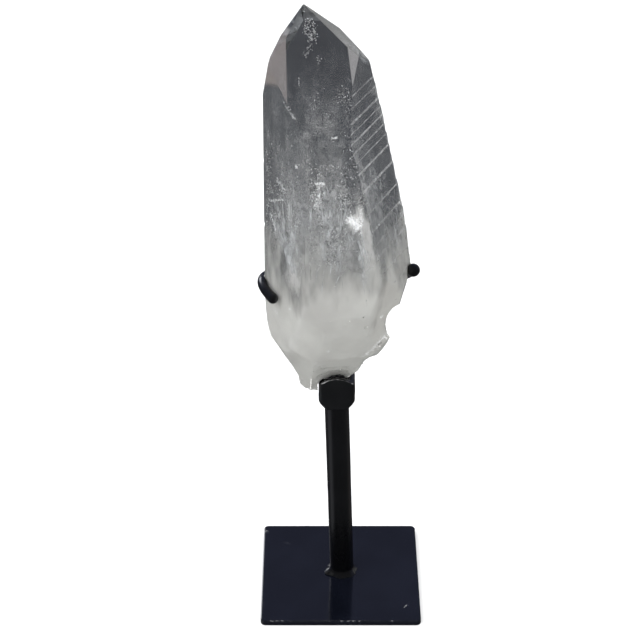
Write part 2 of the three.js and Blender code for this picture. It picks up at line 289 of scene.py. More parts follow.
def move_points(mesh: bpy.types.Mesh, points: Array) -> None:
    """Gives a mesh's vertices new places, one row each."""
    mesh.vertices.foreach_set("co", points.ravel())
    mesh.update()


def mark_points(piece: bpy.types.Object, name: str, values: Array) -> None:
    """Stores one number for each vertex under a name that the finishes read."""
    piece.data.attributes.new(name, "FLOAT", "POINT").data.foreach_set("value", values)


def merged_copy(node: str, name: str, longest: float, fine_below: float) -> bpy.types.Object:
    """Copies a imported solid, welds its loose triangles and cuts long edges in the part below a height.

    Args:
        node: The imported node's name.
        name: The copy's name.
        longest: No edge below the height stays longer than this, in metres.
        fine_below: Height up to which edges are cut, in metres.

    Returns:
        The new object, linked to the scene.
    """
    sheet = bmesh.new()
    sheet.from_mesh(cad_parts[node].data)
    bmesh.ops.remove_doubles(sheet, verts=sheet.verts, dist=WELD_REACH)
    bmesh.ops.dissolve_limit(sheet, angle_limit=FLAT_ANGLE, verts=sheet.verts, edges=sheet.edges)
    bmesh.ops.triangulate(sheet, faces=sheet.faces)
    for _ in range(CUT_ROUNDS):
        long_edges = [
            edge
            for edge in sheet.edges
            if edge.calc_length() > longest and min(v.co.z for v in edge.verts) < fine_below
        ]
        if not long_edges:
            break
        bmesh.ops.subdivide_edges(sheet, edges=long_edges, cuts=1)
        bmesh.ops.triangulate(sheet, faces=sheet.faces)
    mesh = bpy.data.meshes.new(name)
    sheet.to_mesh(mesh)
    sheet.free()
    return new_object(name, mesh)


class Board:
    """A node tree that is filled one node at a time."""

    def __init__(self, tree: bpy.types.NodeTree) -> None:
        """Keeps the tree."""
        self.tree = tree

    def add(self, kind: str, **values: object) -> bpy.types.Node:
        """Adds a node and sets its properties and its inputs by name or number.

        Args:
            kind: The node's Blender type.
            values: Properties of the node, or sockets written as in_NAME with _ for a space.

        Returns:
            The node.
        """
        node = self.tree.nodes.new(kind)
        for key, value in values.items():
            if key.startswith("in_"):
                label = key.removeprefix("in_").replace("_", " ")
                self.join(value, node.inputs[int(label)] if label.isdigit() else node.inputs[label])
            else:
                setattr(node, key, value)
        return node

    def math(self, operation: str, *terms: object, clamp: bool = False) -> bpy.types.NodeSocket:
        """Adds a Math node and gives its output.

        Args:
            operation: The node's operation.
            terms: Numbers or sockets, in order.
            clamp: Whether the result is held between 0 and 1.

        Returns:
            The node's output.
        """
        node = self.add("ShaderNodeMath", operation=operation, use_clamp=clamp)
        for term, socket in zip(terms, node.inputs):
            self.join(term, socket)
        return node.outputs[0]

    def smooth(self, value: bpy.types.NodeSocket, low: object, high: object) -> bpy.types.NodeSocket:
        """Adds a smooth step from 0 at low to 1 at high and gives its output.

        Args:
            value: The value to read.
            low: Where the step starts, a number or a socket.
            high: Where it ends, a number or a socket.

        Returns:
            The node's output.
        """
        node = self.add(
            "ShaderNodeMapRange",
            interpolation_type="SMOOTHSTEP",
            in_Value=value,
            in_From_Min=low,
            in_From_Max=high,
        )
        return node.outputs["Result"]

    def noise(
        self, vector: bpy.types.NodeSocket, scale: float, detail: float = 2.0, roughness: float = 0.5
    ) -> bpy.types.NodeSocket:
        """Adds a noise texture and gives its value from 0 to 1.

        Args:
            vector: The coordinates.
            scale: How fine the noise is.
            detail: How many finer layers it has.
            roughness: How strong the finer layers are.

        Returns:
            The noise's value.
        """
        node = self.add(
            "ShaderNodeTexNoise", in_Vector=vector, in_Scale=scale, in_Detail=detail, in_Roughness=roughness
        )
        return node.outputs["Fac"]

    def stretch(self, vector: bpy.types.NodeSocket, scale: Point) -> bpy.types.NodeSocket:
        """Adds a mapping that scales the coordinates, so that a small number draws a pattern out."""
        return self.add("ShaderNodeMapping", in_Vector=vector, in_Scale=scale).outputs["Vector"]

    def blend(self, mask: object, first: object, second: object) -> bpy.types.NodeSocket:
        """Adds a colour mix, first at mask 0 and second at mask 1."""
        # The node's sockets 0, 6 and 7 are its mask and its two colours, and its output 2 is the colour
        return self.add("ShaderNodeMix", data_type="RGBA", in_0=mask, in_6=first, in_7=second).outputs[2]

    def join(self, value: object, socket: bpy.types.NodeSocket) -> None:
        """Links a value's socket into another one, or sets a constant on it.

        Args:
            value: A socket, or a constant.
            socket: The input that takes it.
        """
        if isinstance(value, bpy.types.NodeSocket):
            self.tree.links.new(value, socket)
        else:
            socket.default_value = value


def new_group(
    name: str, inputs: dict[str, object], outputs: dict[str, str]
) -> tuple[Board, bpy.types.Node, bpy.types.Node]:
    """Starts a shader node group with named sockets.

    Args:
        name: The group's name.
        inputs: Socket name to its default, where a number is a float, four numbers a colour, None a vector.
        outputs: Socket name to its kind, Float or Color.

    Returns:
        The board, the group's input node and its output node.
    """
    tree = bpy.data.node_groups.new(name, "ShaderNodeTree")
    for label, default in inputs.items():
        kind = "NodeSocketFloat" if isinstance(default, float) else "NodeSocketColor"
        if default is None:
            kind = "NodeSocketVector"
        socket = tree.interface.new_socket(label, in_out="INPUT", socket_type=kind)
        if default is not None:
            socket.default_value = default
    for label, kind in outputs.items():
        tree.interface.new_socket(label, in_out="OUTPUT", socket_type="NodeSocket" + kind)
    board = Board(tree)
    return board, board.add("NodeGroupInput"), board.add("NodeGroupOutput")


class Effects:
    """The shader node groups that several finishes share."""

    def __init__(self) -> None:
        """Builds every group once."""
        self.height_fade = self.build_height_fade()
        self.speckle = self.build_speckle()
        self.worn_paint = self.build_worn_paint()

    def build_height_fade(self) -> bpy.types.NodeTree:
        """Makes a mask that is 1 below one height and 0 above another, along a ragged, streaky border.

        The border moves up and down by the raggedness times the swing times a noise drawn out upwards.

        Returns:
            The group.
        """
        board, start, end = new_group(
            "height_fade",
            {"Vector": None, "Low": 0.16, "High": 0.2, "Raggedness": 0.02, "Streaks": 60.0},
            {"Mask": "Float"},
        )
        vector = start.outputs["Vector"]
        height = board.add("ShaderNodeSeparateXYZ", in_0=vector).outputs["Z"]
        drawn_up, swing = 0.3, 4.0
        streaky = board.stretch(vector, (1.0, 1.0, drawn_up))
        streaks = board.add(
            "ShaderNodeTexNoise", in_Vector=streaky, in_Scale=start.outputs["Streaks"], in_Detail=4.0
        ).outputs["Fac"]
        shift = board.math("MULTIPLY", board.math("SUBTRACT", streaks, 0.5), start.outputs["Raggedness"])
        moved = board.math("ADD", height, board.math("MULTIPLY", shift, swing))
        rising = board.smooth(moved, start.outputs["Low"], start.outputs["High"])
        board.join(board.math("SUBTRACT", 1.0, rising), end.inputs["Mask"])
        return board.tree

    def build_speckle(self) -> bpy.types.NodeTree:
        """Makes a mask of fine bright grains that gather in feathery upright patches.

        Returns:
            The group.
        """
        board, start, end = new_group(
            "speckle",
            {"Vector": None, "Grain": 900.0, "Patches": 90.0, "Share": 0.5},
            {"Mask": "Float"},
        )
        vector = start.outputs["Vector"]
        grain = board.add(
            "ShaderNodeTexNoise", in_Vector=vector, in_Scale=start.outputs["Grain"], in_Detail=1.0
        ).outputs["Fac"]
        drawn_up, fullest, between_grains, grain_edge = 0.35, 0.95, 0.14, (0.44, 0.62)
        upright = board.stretch(vector, (1.0, 1.0, drawn_up))
        patches = board.add(
            "ShaderNodeTexNoise", in_Vector=upright, in_Scale=start.outputs["Patches"], in_Detail=5.0
        ).outputs["Fac"]
        gathered = board.smooth(patches, board.math("SUBTRACT", 1.0, start.outputs["Share"]), fullest)
        fine = board.smooth(grain, *grain_edge)
        grainy = board.math("MULTIPLY_ADD", fine, 1.0 - between_grains, between_grains)
        board.join(board.math("MULTIPLY", gathered, grainy), end.inputs["Mask"])
        return board.tree

    def build_worn_paint(self) -> bpy.types.NodeTree:
        """Makes paint colour, roughness and height, with worn spots and a painted edge highlight where an
        edge mask says so.

        A spot is worn where fine and broad noise and the edge times the wear add up to about one. Along the
        edge the paint is also lightened a little, as worn paint and, on the plate's front rim and the
        seat's rim, as a painted highlight. Worn spots are duller and lie lower than the paint.

        Returns:
            The group.
        """
        board, start, end = new_group(
            "worn_paint",
            {
                "Vector": None,
                "Edge": 0.0,
                "Wear": 0.5,
                "Paint": (0.02, 0.02, 0.025, 1.0),
                "Faded": (0.03, 0.03, 0.035, 1.0),
                "Bare": (0.35, 0.35, 0.36, 1.0),
                "Gloss": 0.35,
            },
            {"Color": "Color", "Roughness": "Float", "Height": "Float"},
        )
        vector = start.outputs["Vector"]
        broad_scale, fine_scale, peel_scale = 45.0, 420.0, 260.0
        broad_share, wear_and_highlight_edge, faded_edge = 0.45, (0.98, 1.12), (0.35, 0.7)
        rub_and_highlight_share, rub_and_highlight_edge, rub_and_highlight_gaps = 0.035, (0.5, 1.0), (0.3, 0.55)
        uneven_gloss, worn_dullness, worn_depth = 0.08, 0.2, 0.5
        broad = board.noise(vector, broad_scale, 3.0)
        fine = board.noise(vector, fine_scale, 4.0)
        finer = board.math("MULTIPLY", fine, 1.0 - broad_share)
        torn = board.math("MULTIPLY_ADD", broad, broad_share, finer)
        reach = board.math("MULTIPLY", start.outputs["Edge"], start.outputs["Wear"])
        worn = board.smooth(board.math("ADD", torn, reach), *wear_and_highlight_edge)
        # The edge band is lightened a little: worn paint, and on the plate's front rim and the seat's rim a
        # painted highlight.
        rub_and_highlight = board.math("MULTIPLY", board.smooth(start.outputs["Edge"], *rub_and_highlight_edge), rub_and_highlight_share)
        worn = board.math("MAXIMUM", worn, board.math("MULTIPLY", rub_and_highlight, board.smooth(fine, *rub_and_highlight_gaps)))
        tone = board.blend(board.smooth(broad, *faded_edge), start.outputs["Paint"], start.outputs["Faded"])
        board.join(board.blend(worn, tone, start.outputs["Bare"]), end.inputs["Color"])
        dull = board.math("MULTIPLY_ADD", broad, uneven_gloss, start.outputs["Gloss"])
        board.join(board.math("MULTIPLY_ADD", worn, worn_dullness, dull), end.inputs["Roughness"])
        orange_peel = board.noise(vector, peel_scale, 2.0)
        board.join(board.math("MULTIPLY_ADD", worn, -worn_depth, orange_peel), end.inputs["Height"])
        return board.tree


def new_material(name: str) -> tuple[bpy.types.Material, Board, bpy.types.Node, bpy.types.NodeSocket]:
    """Starts a material.

    Args:
        name: The material's name.

    Returns:
        The material, its board, its Principled node and the Object coordinates.
    """
    material = bpy.data.materials.new(name)
    material.use_nodes = True
    material.node_tree.nodes.clear()
    board = Board(material.node_tree)
    shader = board.add("ShaderNodeBsdfPrincipled")
    board.add("ShaderNodeOutputMaterial", in_Surface=shader.outputs["BSDF"])
    where = board.add("ShaderNodeTexCoord").outputs["Object"]
    return material, board, shader, where


def use_group(board: Board, group: bpy.types.NodeTree, **values: object) -> bpy.types.Node:
    """Places a shared group in a material with its own values.

    Args:
        board: The material's board.
        group: The shared group.
        values: A number, a colour or a socket for each input.

    Returns:
        The group's node.
    """
    node = board.add("ShaderNodeGroup", node_tree=group)
    for key, value in values.items():
        board.join(value, node.inputs[key])
    return node


@dataclass(frozen=True)
class ClearQuartz:
    """Glass-clear quartz with faint growth lines on its faces."""

    ior: float = 1.544
    tint: Colour = (0.97, 0.975, 0.98, 1.0)
    absorbed_tint: Colour = (0.78, 0.8, 0.83, 1.0)
    absorption: float = 14.0
    shade: Colour = (0.93, 0.935, 0.94, 1.0)
    shade_scale: float = 30.0
    dull_scale: float = 160.0
    dull_edge: Span = (0.5, 0.85)
    dullest: float = 0.05
    line_scale: float = 260.0
    line_draw: Point = (0.12, 0.12, 1.0)
    line_height: float = 0.00002
    line_strength: float = 0.15

    def make(self) -> bpy.types.Material:
        """Builds the material.

        Returns:
            The material.
        """
        material, board, shader, where = new_material("clear_quartz")
        shader.inputs["Transmission Weight"].default_value = 1.0
        shader.inputs["IOR"].default_value = self.ior
        tone = board.blend(board.noise(where, self.shade_scale, 3.0), self.tint, self.shade)
        board.join(tone, shader.inputs["Base Color"])
        dull = board.smooth(board.noise(where, self.dull_scale, 4.0), *self.dull_edge)
        board.join(board.math("MULTIPLY", dull, self.dullest), shader.inputs["Roughness"])
        lines = board.noise(board.stretch(where, self.line_draw), self.line_scale, 2.0)
        bump = board.add(
            "ShaderNodeBump", in_Strength=self.line_strength, in_Distance=self.line_height, in_Height=lines
        )
        board.join(bump.outputs["Normal"], shader.inputs["Normal"])
        depth = board.add(
            "ShaderNodeVolumeAbsorption", in_Color=self.absorbed_tint, in_Density=self.absorption
        )
        output = next(n for n in board.tree.nodes if n.type == "OUTPUT_MATERIAL")
        board.join(depth.outputs["Volume"], output.inputs["Volume"])
        return material


@dataclass(frozen=True)
class MilkyQuartz:
    """White clouded quartz that thins out upwards in streaks."""

    name: str
    low: float
    high: float
    raggedness: float
    streaks: float = 70.0
    patches: float = 55.0
    patch_edge: Span = (0.35, 0.7)
    roughness: Span = (0.55, 0.75)
    rough_scale: float = 300.0
    pale: Colour = (0.86, 0.86, 0.835, 1.0)
    shade: Colour = (0.75, 0.745, 0.725, 1.0)

    def make(self, effects: Effects) -> bpy.types.Material:
        """Builds the material.

        Args:
            effects: The shared node groups.

        Returns:
            The material.
        """
        material, board, shader, where = new_material(self.name)
        patches = board.smooth(board.noise(where, self.patches, 5.0), *self.patch_edge)
        board.join(board.blend(patches, self.pale, self.shade), shader.inputs["Base Color"])
        fade = use_group(
            board,
            effects.height_fade,
            Vector=where,
            Low=self.low,
            High=self.high,
            Raggedness=self.raggedness,
            Streaks=self.streaks,
        ).outputs["Mask"]
        board.join(fade, shader.inputs["Alpha"])
        low, high = self.roughness
        rough = board.math("MULTIPLY_ADD", board.noise(where, self.rough_scale, 2.0), high - low, low)
        board.join(rough, shader.inputs["Roughness"])
        return material


@dataclass(frozen=True)
class Veil:
    """Thin white cloud inside the stone: grains and feathery patches, dense where the piece says so.

    A draw below 1 stretches a pattern upwards. An edge gives the noise values where a part starts and
    where it is full.
    """

    name: str
    grain: float
    patches: float
    share: float
    pale: Colour = (0.82, 0.815, 0.805, 1.0)
    shade: Colour = (0.66, 0.66, 0.655, 1.0)
    shade_scale: float = 80.0
    grain_cover: float = 1.9
    even_cover: float = 0.06
    torn_scale: float = 330.0
    torn_draw: Point = (1.0, 1.0, 0.55)
    torn_share: float = 0.9
    torn_edge: Span = (0.4, 1.0)
    wisp_scale: float = 240.0
    wisp_draw: Point = (1.0, 1.0, 0.6)
    wisp_edge: Span = (0.36, 0.62)
    wisp_gaps: float = 0.45
    roughness: float = 0.6

    def make(self, effects: Effects) -> bpy.types.Material:
        """Builds the material. The piece's own attribute milk gives the mean density.

        Args:
            effects: The shared node groups.

        Returns:
            The material.
        """
        material, board, shader, where = new_material(self.name)
        milk = board.add("ShaderNodeAttribute", attribute_name="milk").outputs["Fac"]
        grains = use_group(
            board, effects.speckle, Vector=where, Grain=self.grain, Patches=self.patches, Share=self.share
        ).outputs["Mask"]
        torn = board.noise(board.stretch(where, self.torn_draw), self.torn_scale, 4.0, 0.6)
        lowered = board.math("SUBTRACT", milk, self.torn_share / 2)
        dense = board.smooth(board.math("MULTIPLY_ADD", torn, self.torn_share, lowered), *self.torn_edge)
        grainy = board.math("MULTIPLY_ADD", grains, self.grain_cover, self.even_cover)
        wisps = board.noise(board.stretch(where, self.wisp_draw), self.wisp_scale, 3.0)
        wispy = board.math("ADD", board.smooth(wisps, *self.wisp_edge), self.wisp_gaps)
        cover = board.math("MULTIPLY", board.math("MULTIPLY", milk, grainy), wispy)
        board.join(board.math("MAXIMUM", cover, dense, clamp=True), shader.inputs["Alpha"])
        tone = board.blend(board.noise(where, self.shade_scale, 3.0), self.pale, self.shade)
        board.join(tone, shader.inputs["Base Color"])
        shader.inputs["Roughness"].default_value = self.roughness
        return material


@dataclass(frozen=True)
class Streaked:
    """Bright thin streaks of healed cracks, which glow faintly as a painted highlight."""

    pale: Colour = (0.85, 0.86, 0.87, 1.0)
    shade: Colour = (0.6, 0.62, 0.64, 1.0)
    shade_scale: float = 200.0
    gap_scale: float = 380.0
    gap_draw: Point = (1.0, 1.0, 0.4)
    gap_edge: Span = (0.38, 0.7)
    least_cover: float = 0.08
    added_cover: float = 0.85
    roughness: float = 0.45
    painted_glint_strength: float = 0.09

    def make(self) -> bpy.types.Material:
        """Builds the material.

        Returns:
            The material.
        """
        material, board, shader, where = new_material("healed_cracks")
        tone = board.blend(board.noise(where, self.shade_scale, 2.0), self.pale, self.shade)
        board.join(tone, shader.inputs["Base Color"])
        gaps = board.noise(board.stretch(where, self.gap_draw), self.gap_scale, 3.0)
        broken = board.smooth(gaps, *self.gap_edge)
        cover = board.math("MULTIPLY_ADD", broken, self.added_cover, self.least_cover)
        board.join(cover, shader.inputs["Alpha"])
        shader.inputs["Roughness"].default_value = self.roughness
        # The streaks glow faintly in their pale tone: a painted highlight, not a lamp.
        shader.inputs["Emission Color"].default_value = self.pale
        shader.inputs["Emission Strength"].default_value = self.painted_glint_strength
        return material


@dataclass(frozen=True)
class Flaked:
    """White broken flakes, glowing as painted highlights as strongly as the piece's own attribute
    painted_glint says.
    """

    pale: Colour = (0.95, 0.95, 0.95, 1.0)
    shade: Colour = (0.7, 0.71, 0.73, 1.0)
    shade_scale: float = 500.0
    roughness: float = 0.3
    painted_glint_strength: float = 0.6

    def make(self) -> bpy.types.Material:
        """Builds the material.

        Returns:
            The material.
        """
        material, board, shader, where = new_material("glinting_flakes")
        tone = board.blend(board.noise(where, self.shade_scale, 1.0), self.pale, self.shade)
        board.join(tone, shader.inputs["Base Color"])
        shader.inputs["Roughness"].default_value = self.roughness
        # Emission scaled by the painted_glint attribute: painted highlights on the flakes, not a lamp.
        lit = board.add("ShaderNodeAttribute", attribute_name="painted_glint").outputs["Fac"]
        board.join(board.blend(lit, NO_LIGHT, WHITE_LIGHT), shader.inputs["Emission Color"])
        shader.inputs["Emission Strength"].default_value = self.painted_glint_strength
        return material


@dataclass(frozen=True)
class Dusty:
    """Pale and dark grains, the pale ones glowing a little as painted highlights. The piece's own attribute
    tone runs from dark to pale.
    """

    dark: Colour = (0.03, 0.03, 0.032, 1.0)
    pale: Colour = (0.92, 0.925, 0.93, 1.0)
    rough_scale: float = 300.0
    least_rough: float = 0.35
    added_rough: float = 0.2
    painted_glint_tones: Span = (0.4, 1.0)
    painted_glint_strength: float = 0.16

    def make(self) -> bpy.types.Material:
        """Builds the material.

        Returns:
            The material.
        """
        material, board, shader, where = new_material("inner_dust")
        tone = board.add("ShaderNodeAttribute", attribute_name="tone").outputs["Fac"]
        board.join(board.blend(tone, self.dark, self.pale), shader.inputs["Base Color"])
        rough = board.noise(where, self.rough_scale)
        rough = board.math("MULTIPLY_ADD", rough, self.added_rough, self.least_rough)
        board.join(rough, shader.inputs["Roughness"])
        # Pale grains glow a little: painted highlights, not lamps.
        lit = board.smooth(tone, *self.painted_glint_tones)
        board.join(board.blend(lit, NO_LIGHT, WHITE_LIGHT), shader.inputs["Emission Color"])
        shader.inputs["Emission Strength"].default_value = self.painted_glint_strength
        return material


@dataclass(frozen=True)
class Frost:
    """Finely rough growth ledges that catch the light."""

    pale: Colour = (0.8, 0.8, 0.8, 1.0)
    patch_scale: float = 240.0
    patch_edge: Span = (0.3, 0.7)
    least_cover: float = 0.06
    added_cover: float = 0.3
    roughness: float = 0.6

    def make(self) -> bpy.types.Material:
        """Builds the material.

        Returns:
            The material.
        """
        material, board, shader, where = new_material("ledge_frost")
        shader.inputs["Base Color"].default_value = self.pale
        patches = board.smooth(board.noise(where, self.patch_scale, 4.0), *self.patch_edge)
        cover = board.math("MULTIPLY_ADD", patches, self.added_cover, self.least_cover)
        board.join(cover, shader.inputs["Alpha"])
        shader.inputs["Roughness"].default_value = self.roughness
        return material


@dataclass(frozen=True)
class Mark:
    """A worn mark on the plate: its middle, half length and half width in millimetres, and its turn."""

    across: float
    along: float
    half_length: float
    half_width: float
    turn: float


@dataclass(frozen=True)
class BlackPaint:
    """Hand-brushed black paint with a soft gloss and bare edges.

    A rim above 0 is the half side of a square plate in metres. Its front and sides are worn from the first
    distance inside the rim and fully from the second; the front band is also a painted highlight of the
    plate's front rim. Its upper face lies between the two heights.
    """

    name: str
    paint: Colour
    faded: Colour
    gloss: float
    wear: float
    ripple: float = 0.3
    rim: float = 0.0
    bare: Colour = (0.35, 0.35, 0.36, 1.0)
    ripple_height: float = 0.0001
    front_wear_and_highlight_band: Span = (0.0009, 0.0003)
    rim_side: Span = (0.001, 0.0003)
    side_wear: float = 0.62
    plate_top: Span = (0.0016, 0.0024)
    mark_reach: float = 1.35
    marks: tuple[Mark, ...] = (
        Mark(33.2, -27.5, 3.8, 0.6, 56.0),
        Mark(-28.0, 24.5, 3.6, 1.0, -25.0),
        Mark(-38.5, 34.5, 1.4, 2.2, 0.0),
        Mark(-38.9, 15.8, 1.2, 1.6, 0.0),
        Mark(-39.0, -27.0, 1.0, 3.2, 0.0),
    )

    def make(self, effects: Effects) -> bpy.types.Material:
        """Builds the material.

        The piece's own attribute wear_and_highlight_edge says where it wears bare and, on the seat's rim,
        where a painted highlight lies. On a plate with a rim it is the border.

        Args:
            effects: The shared node groups.

        Returns:
            The material.
        """
        material, board, shader, where = new_material(self.name)
        edge = board.add("ShaderNodeAttribute", attribute_name="wear_and_highlight_edge").outputs["Fac"]
        if self.rim > 0.0:
            edge = self.border(board, where)
        coat = use_group(
            board,
            effects.worn_paint,
            Vector=where,
            Edge=edge,
            Wear=self.wear,
            Paint=self.paint,
            Faded=self.faded,
            Bare=self.bare,
            Gloss=self.gloss,
        )
        board.join(coat.outputs["Color"], shader.inputs["Base Color"])
        board.join(coat.outputs["Roughness"], shader.inputs["Roughness"])
        height = coat.outputs["Height"]
        bump = board.add(
            "ShaderNodeBump", in_Strength=self.ripple, in_Distance=self.ripple_height, in_Height=height
        )
        board.join(bump.outputs["Normal"], shader.inputs["Normal"])
        return material

    def border(self, board: Board, where: bpy.types.NodeSocket) -> bpy.types.NodeSocket:
        """Gives the mask of a square plate's worn places: its front border, which is also a painted
        highlight of the front rim, its sides and its marks.

        A mark is its reach less the square of the distance from its middle, measured in its half sizes. The
        mask is held to the plate's upper face.

        Args:
            board: The material's board.
            where: The Object coordinates.

        Returns:
            The mask.
        """
        parts = board.add("ShaderNodeSeparateXYZ", in_0=where)
        front = board.math("MULTIPLY", parts.outputs["Y"], -1.0)
        side = board.math("ABSOLUTE", parts.outputs["X"])
        # The front band is worn paint and a painted highlight of the plate's front rim; the sides are worn
        # chips.
        front_wear_and_highlight, near_side = (
            board.smooth(reached, self.rim - start, self.rim - full)
            for reached, (start, full) in ((front, self.front_wear_and_highlight_band), (side, self.rim_side))
        )
        mask = board.math("MAXIMUM", front_wear_and_highlight, board.math("MULTIPLY", near_side, self.side_wear))
        for mark in self.marks:
            turn = math.radians(mark.turn)
            lengthwise = np.array([math.cos(turn), math.sin(turn), 0.0])
            crosswise = np.array([-math.sin(turn), math.cos(turn), 0.0])
            middle = np.array([mark.across, mark.along, 0.0])
            squares = []
            for way, half in ((lengthwise, mark.half_length), (crosswise, mark.half_width)):
                spot = board.add("ShaderNodeVectorMath", operation="DOT_PRODUCT", in_0=where)
                spot.inputs[1].default_value = tuple(way / (half * MM))
                off = board.math("SUBTRACT", spot.outputs["Value"], float(middle @ way) / half)
                squares.append(board.math("MULTIPLY", off, off))
            near = board.math("SUBTRACT", self.mark_reach, board.math("ADD", *squares), clamp=True)
            mask = board.math("MAXIMUM", mask, near)
        top = board.smooth(parts.outputs["Z"], *self.plate_top)
        return board.math("MULTIPLY", mask, top)


@dataclass
class Photographer:
    """The camera."""

    place_mm: Point = (-10.4, -824.6, 634.6)
    look_down: float = 30.28
    lens: float = 112.5
    sensor: float = 36.0

    def build(self) -> None:
        """Makes the camera and hands it to the scene."""
        data = bpy.data.cameras.new("camera")
        data.lens = self.lens
        data.sensor_width = self.sensor
        data.clip_start = 0.01
        data.clip_end = 20.0
        camera = bpy.data.objects.new("camera", data)
        camera.location = [value * MM for value in self.place_mm]
        camera.rotation_euler = (math.radians(90.0 - self.look_down), 0.0, 0.0)
        bpy.context.collection.objects.link(camera)
        bpy.context.scene.camera = camera


@dataclass(frozen=True)
class Lamp:
    """A rectangular lamp: its place and its sides in metres, and its power in watts."""

    name: str
    spot: Point
    sides: Span
    power: float

    def build(self, aim: Point) -> None:
        """Makes the lamp and turns it to a place. Only what it lights shows it.

        Args:
            aim: Where the lamp faces, in metres.
        """
        data = bpy.data.lights.new(self.name, "AREA")
        data.shape = "RECTANGLE"
        data.size, data.size_y = self.sides
        data.energy = self.power
        lamp = bpy.data.objects.new(self.name, data)
        lamp.location = self.spot
        target = np.array(aim) - np.array(self.spot)
        lamp.rotation_euler = Vector(target).to_track_quat("-Z", "Y").to_euler()
        lamp.visible_camera = False
        lamp.visible_glossy = False
        bpy.context.collection.objects.link(lamp)


@dataclass(frozen=True)
class Card:
    """A soft round patch of the room.

    The azimuth of its middle counts from straight behind the object to the right. Its tone is even up to
    the inner angle from the middle and fades out at the outer one. All angles are in degrees.
    """

    azimuth: float
    elevation: float
    inner: float
    outer: float
    tone: Colour

    def way(self) -> Point:
        """Unit vector from the object to the patch."""
        turn, rise = math.radians(self.azimuth), math.radians(self.elevation)
        return math.sin(turn) * math.cos(rise), math.cos(turn) * math.cos(rise), math.sin(rise)


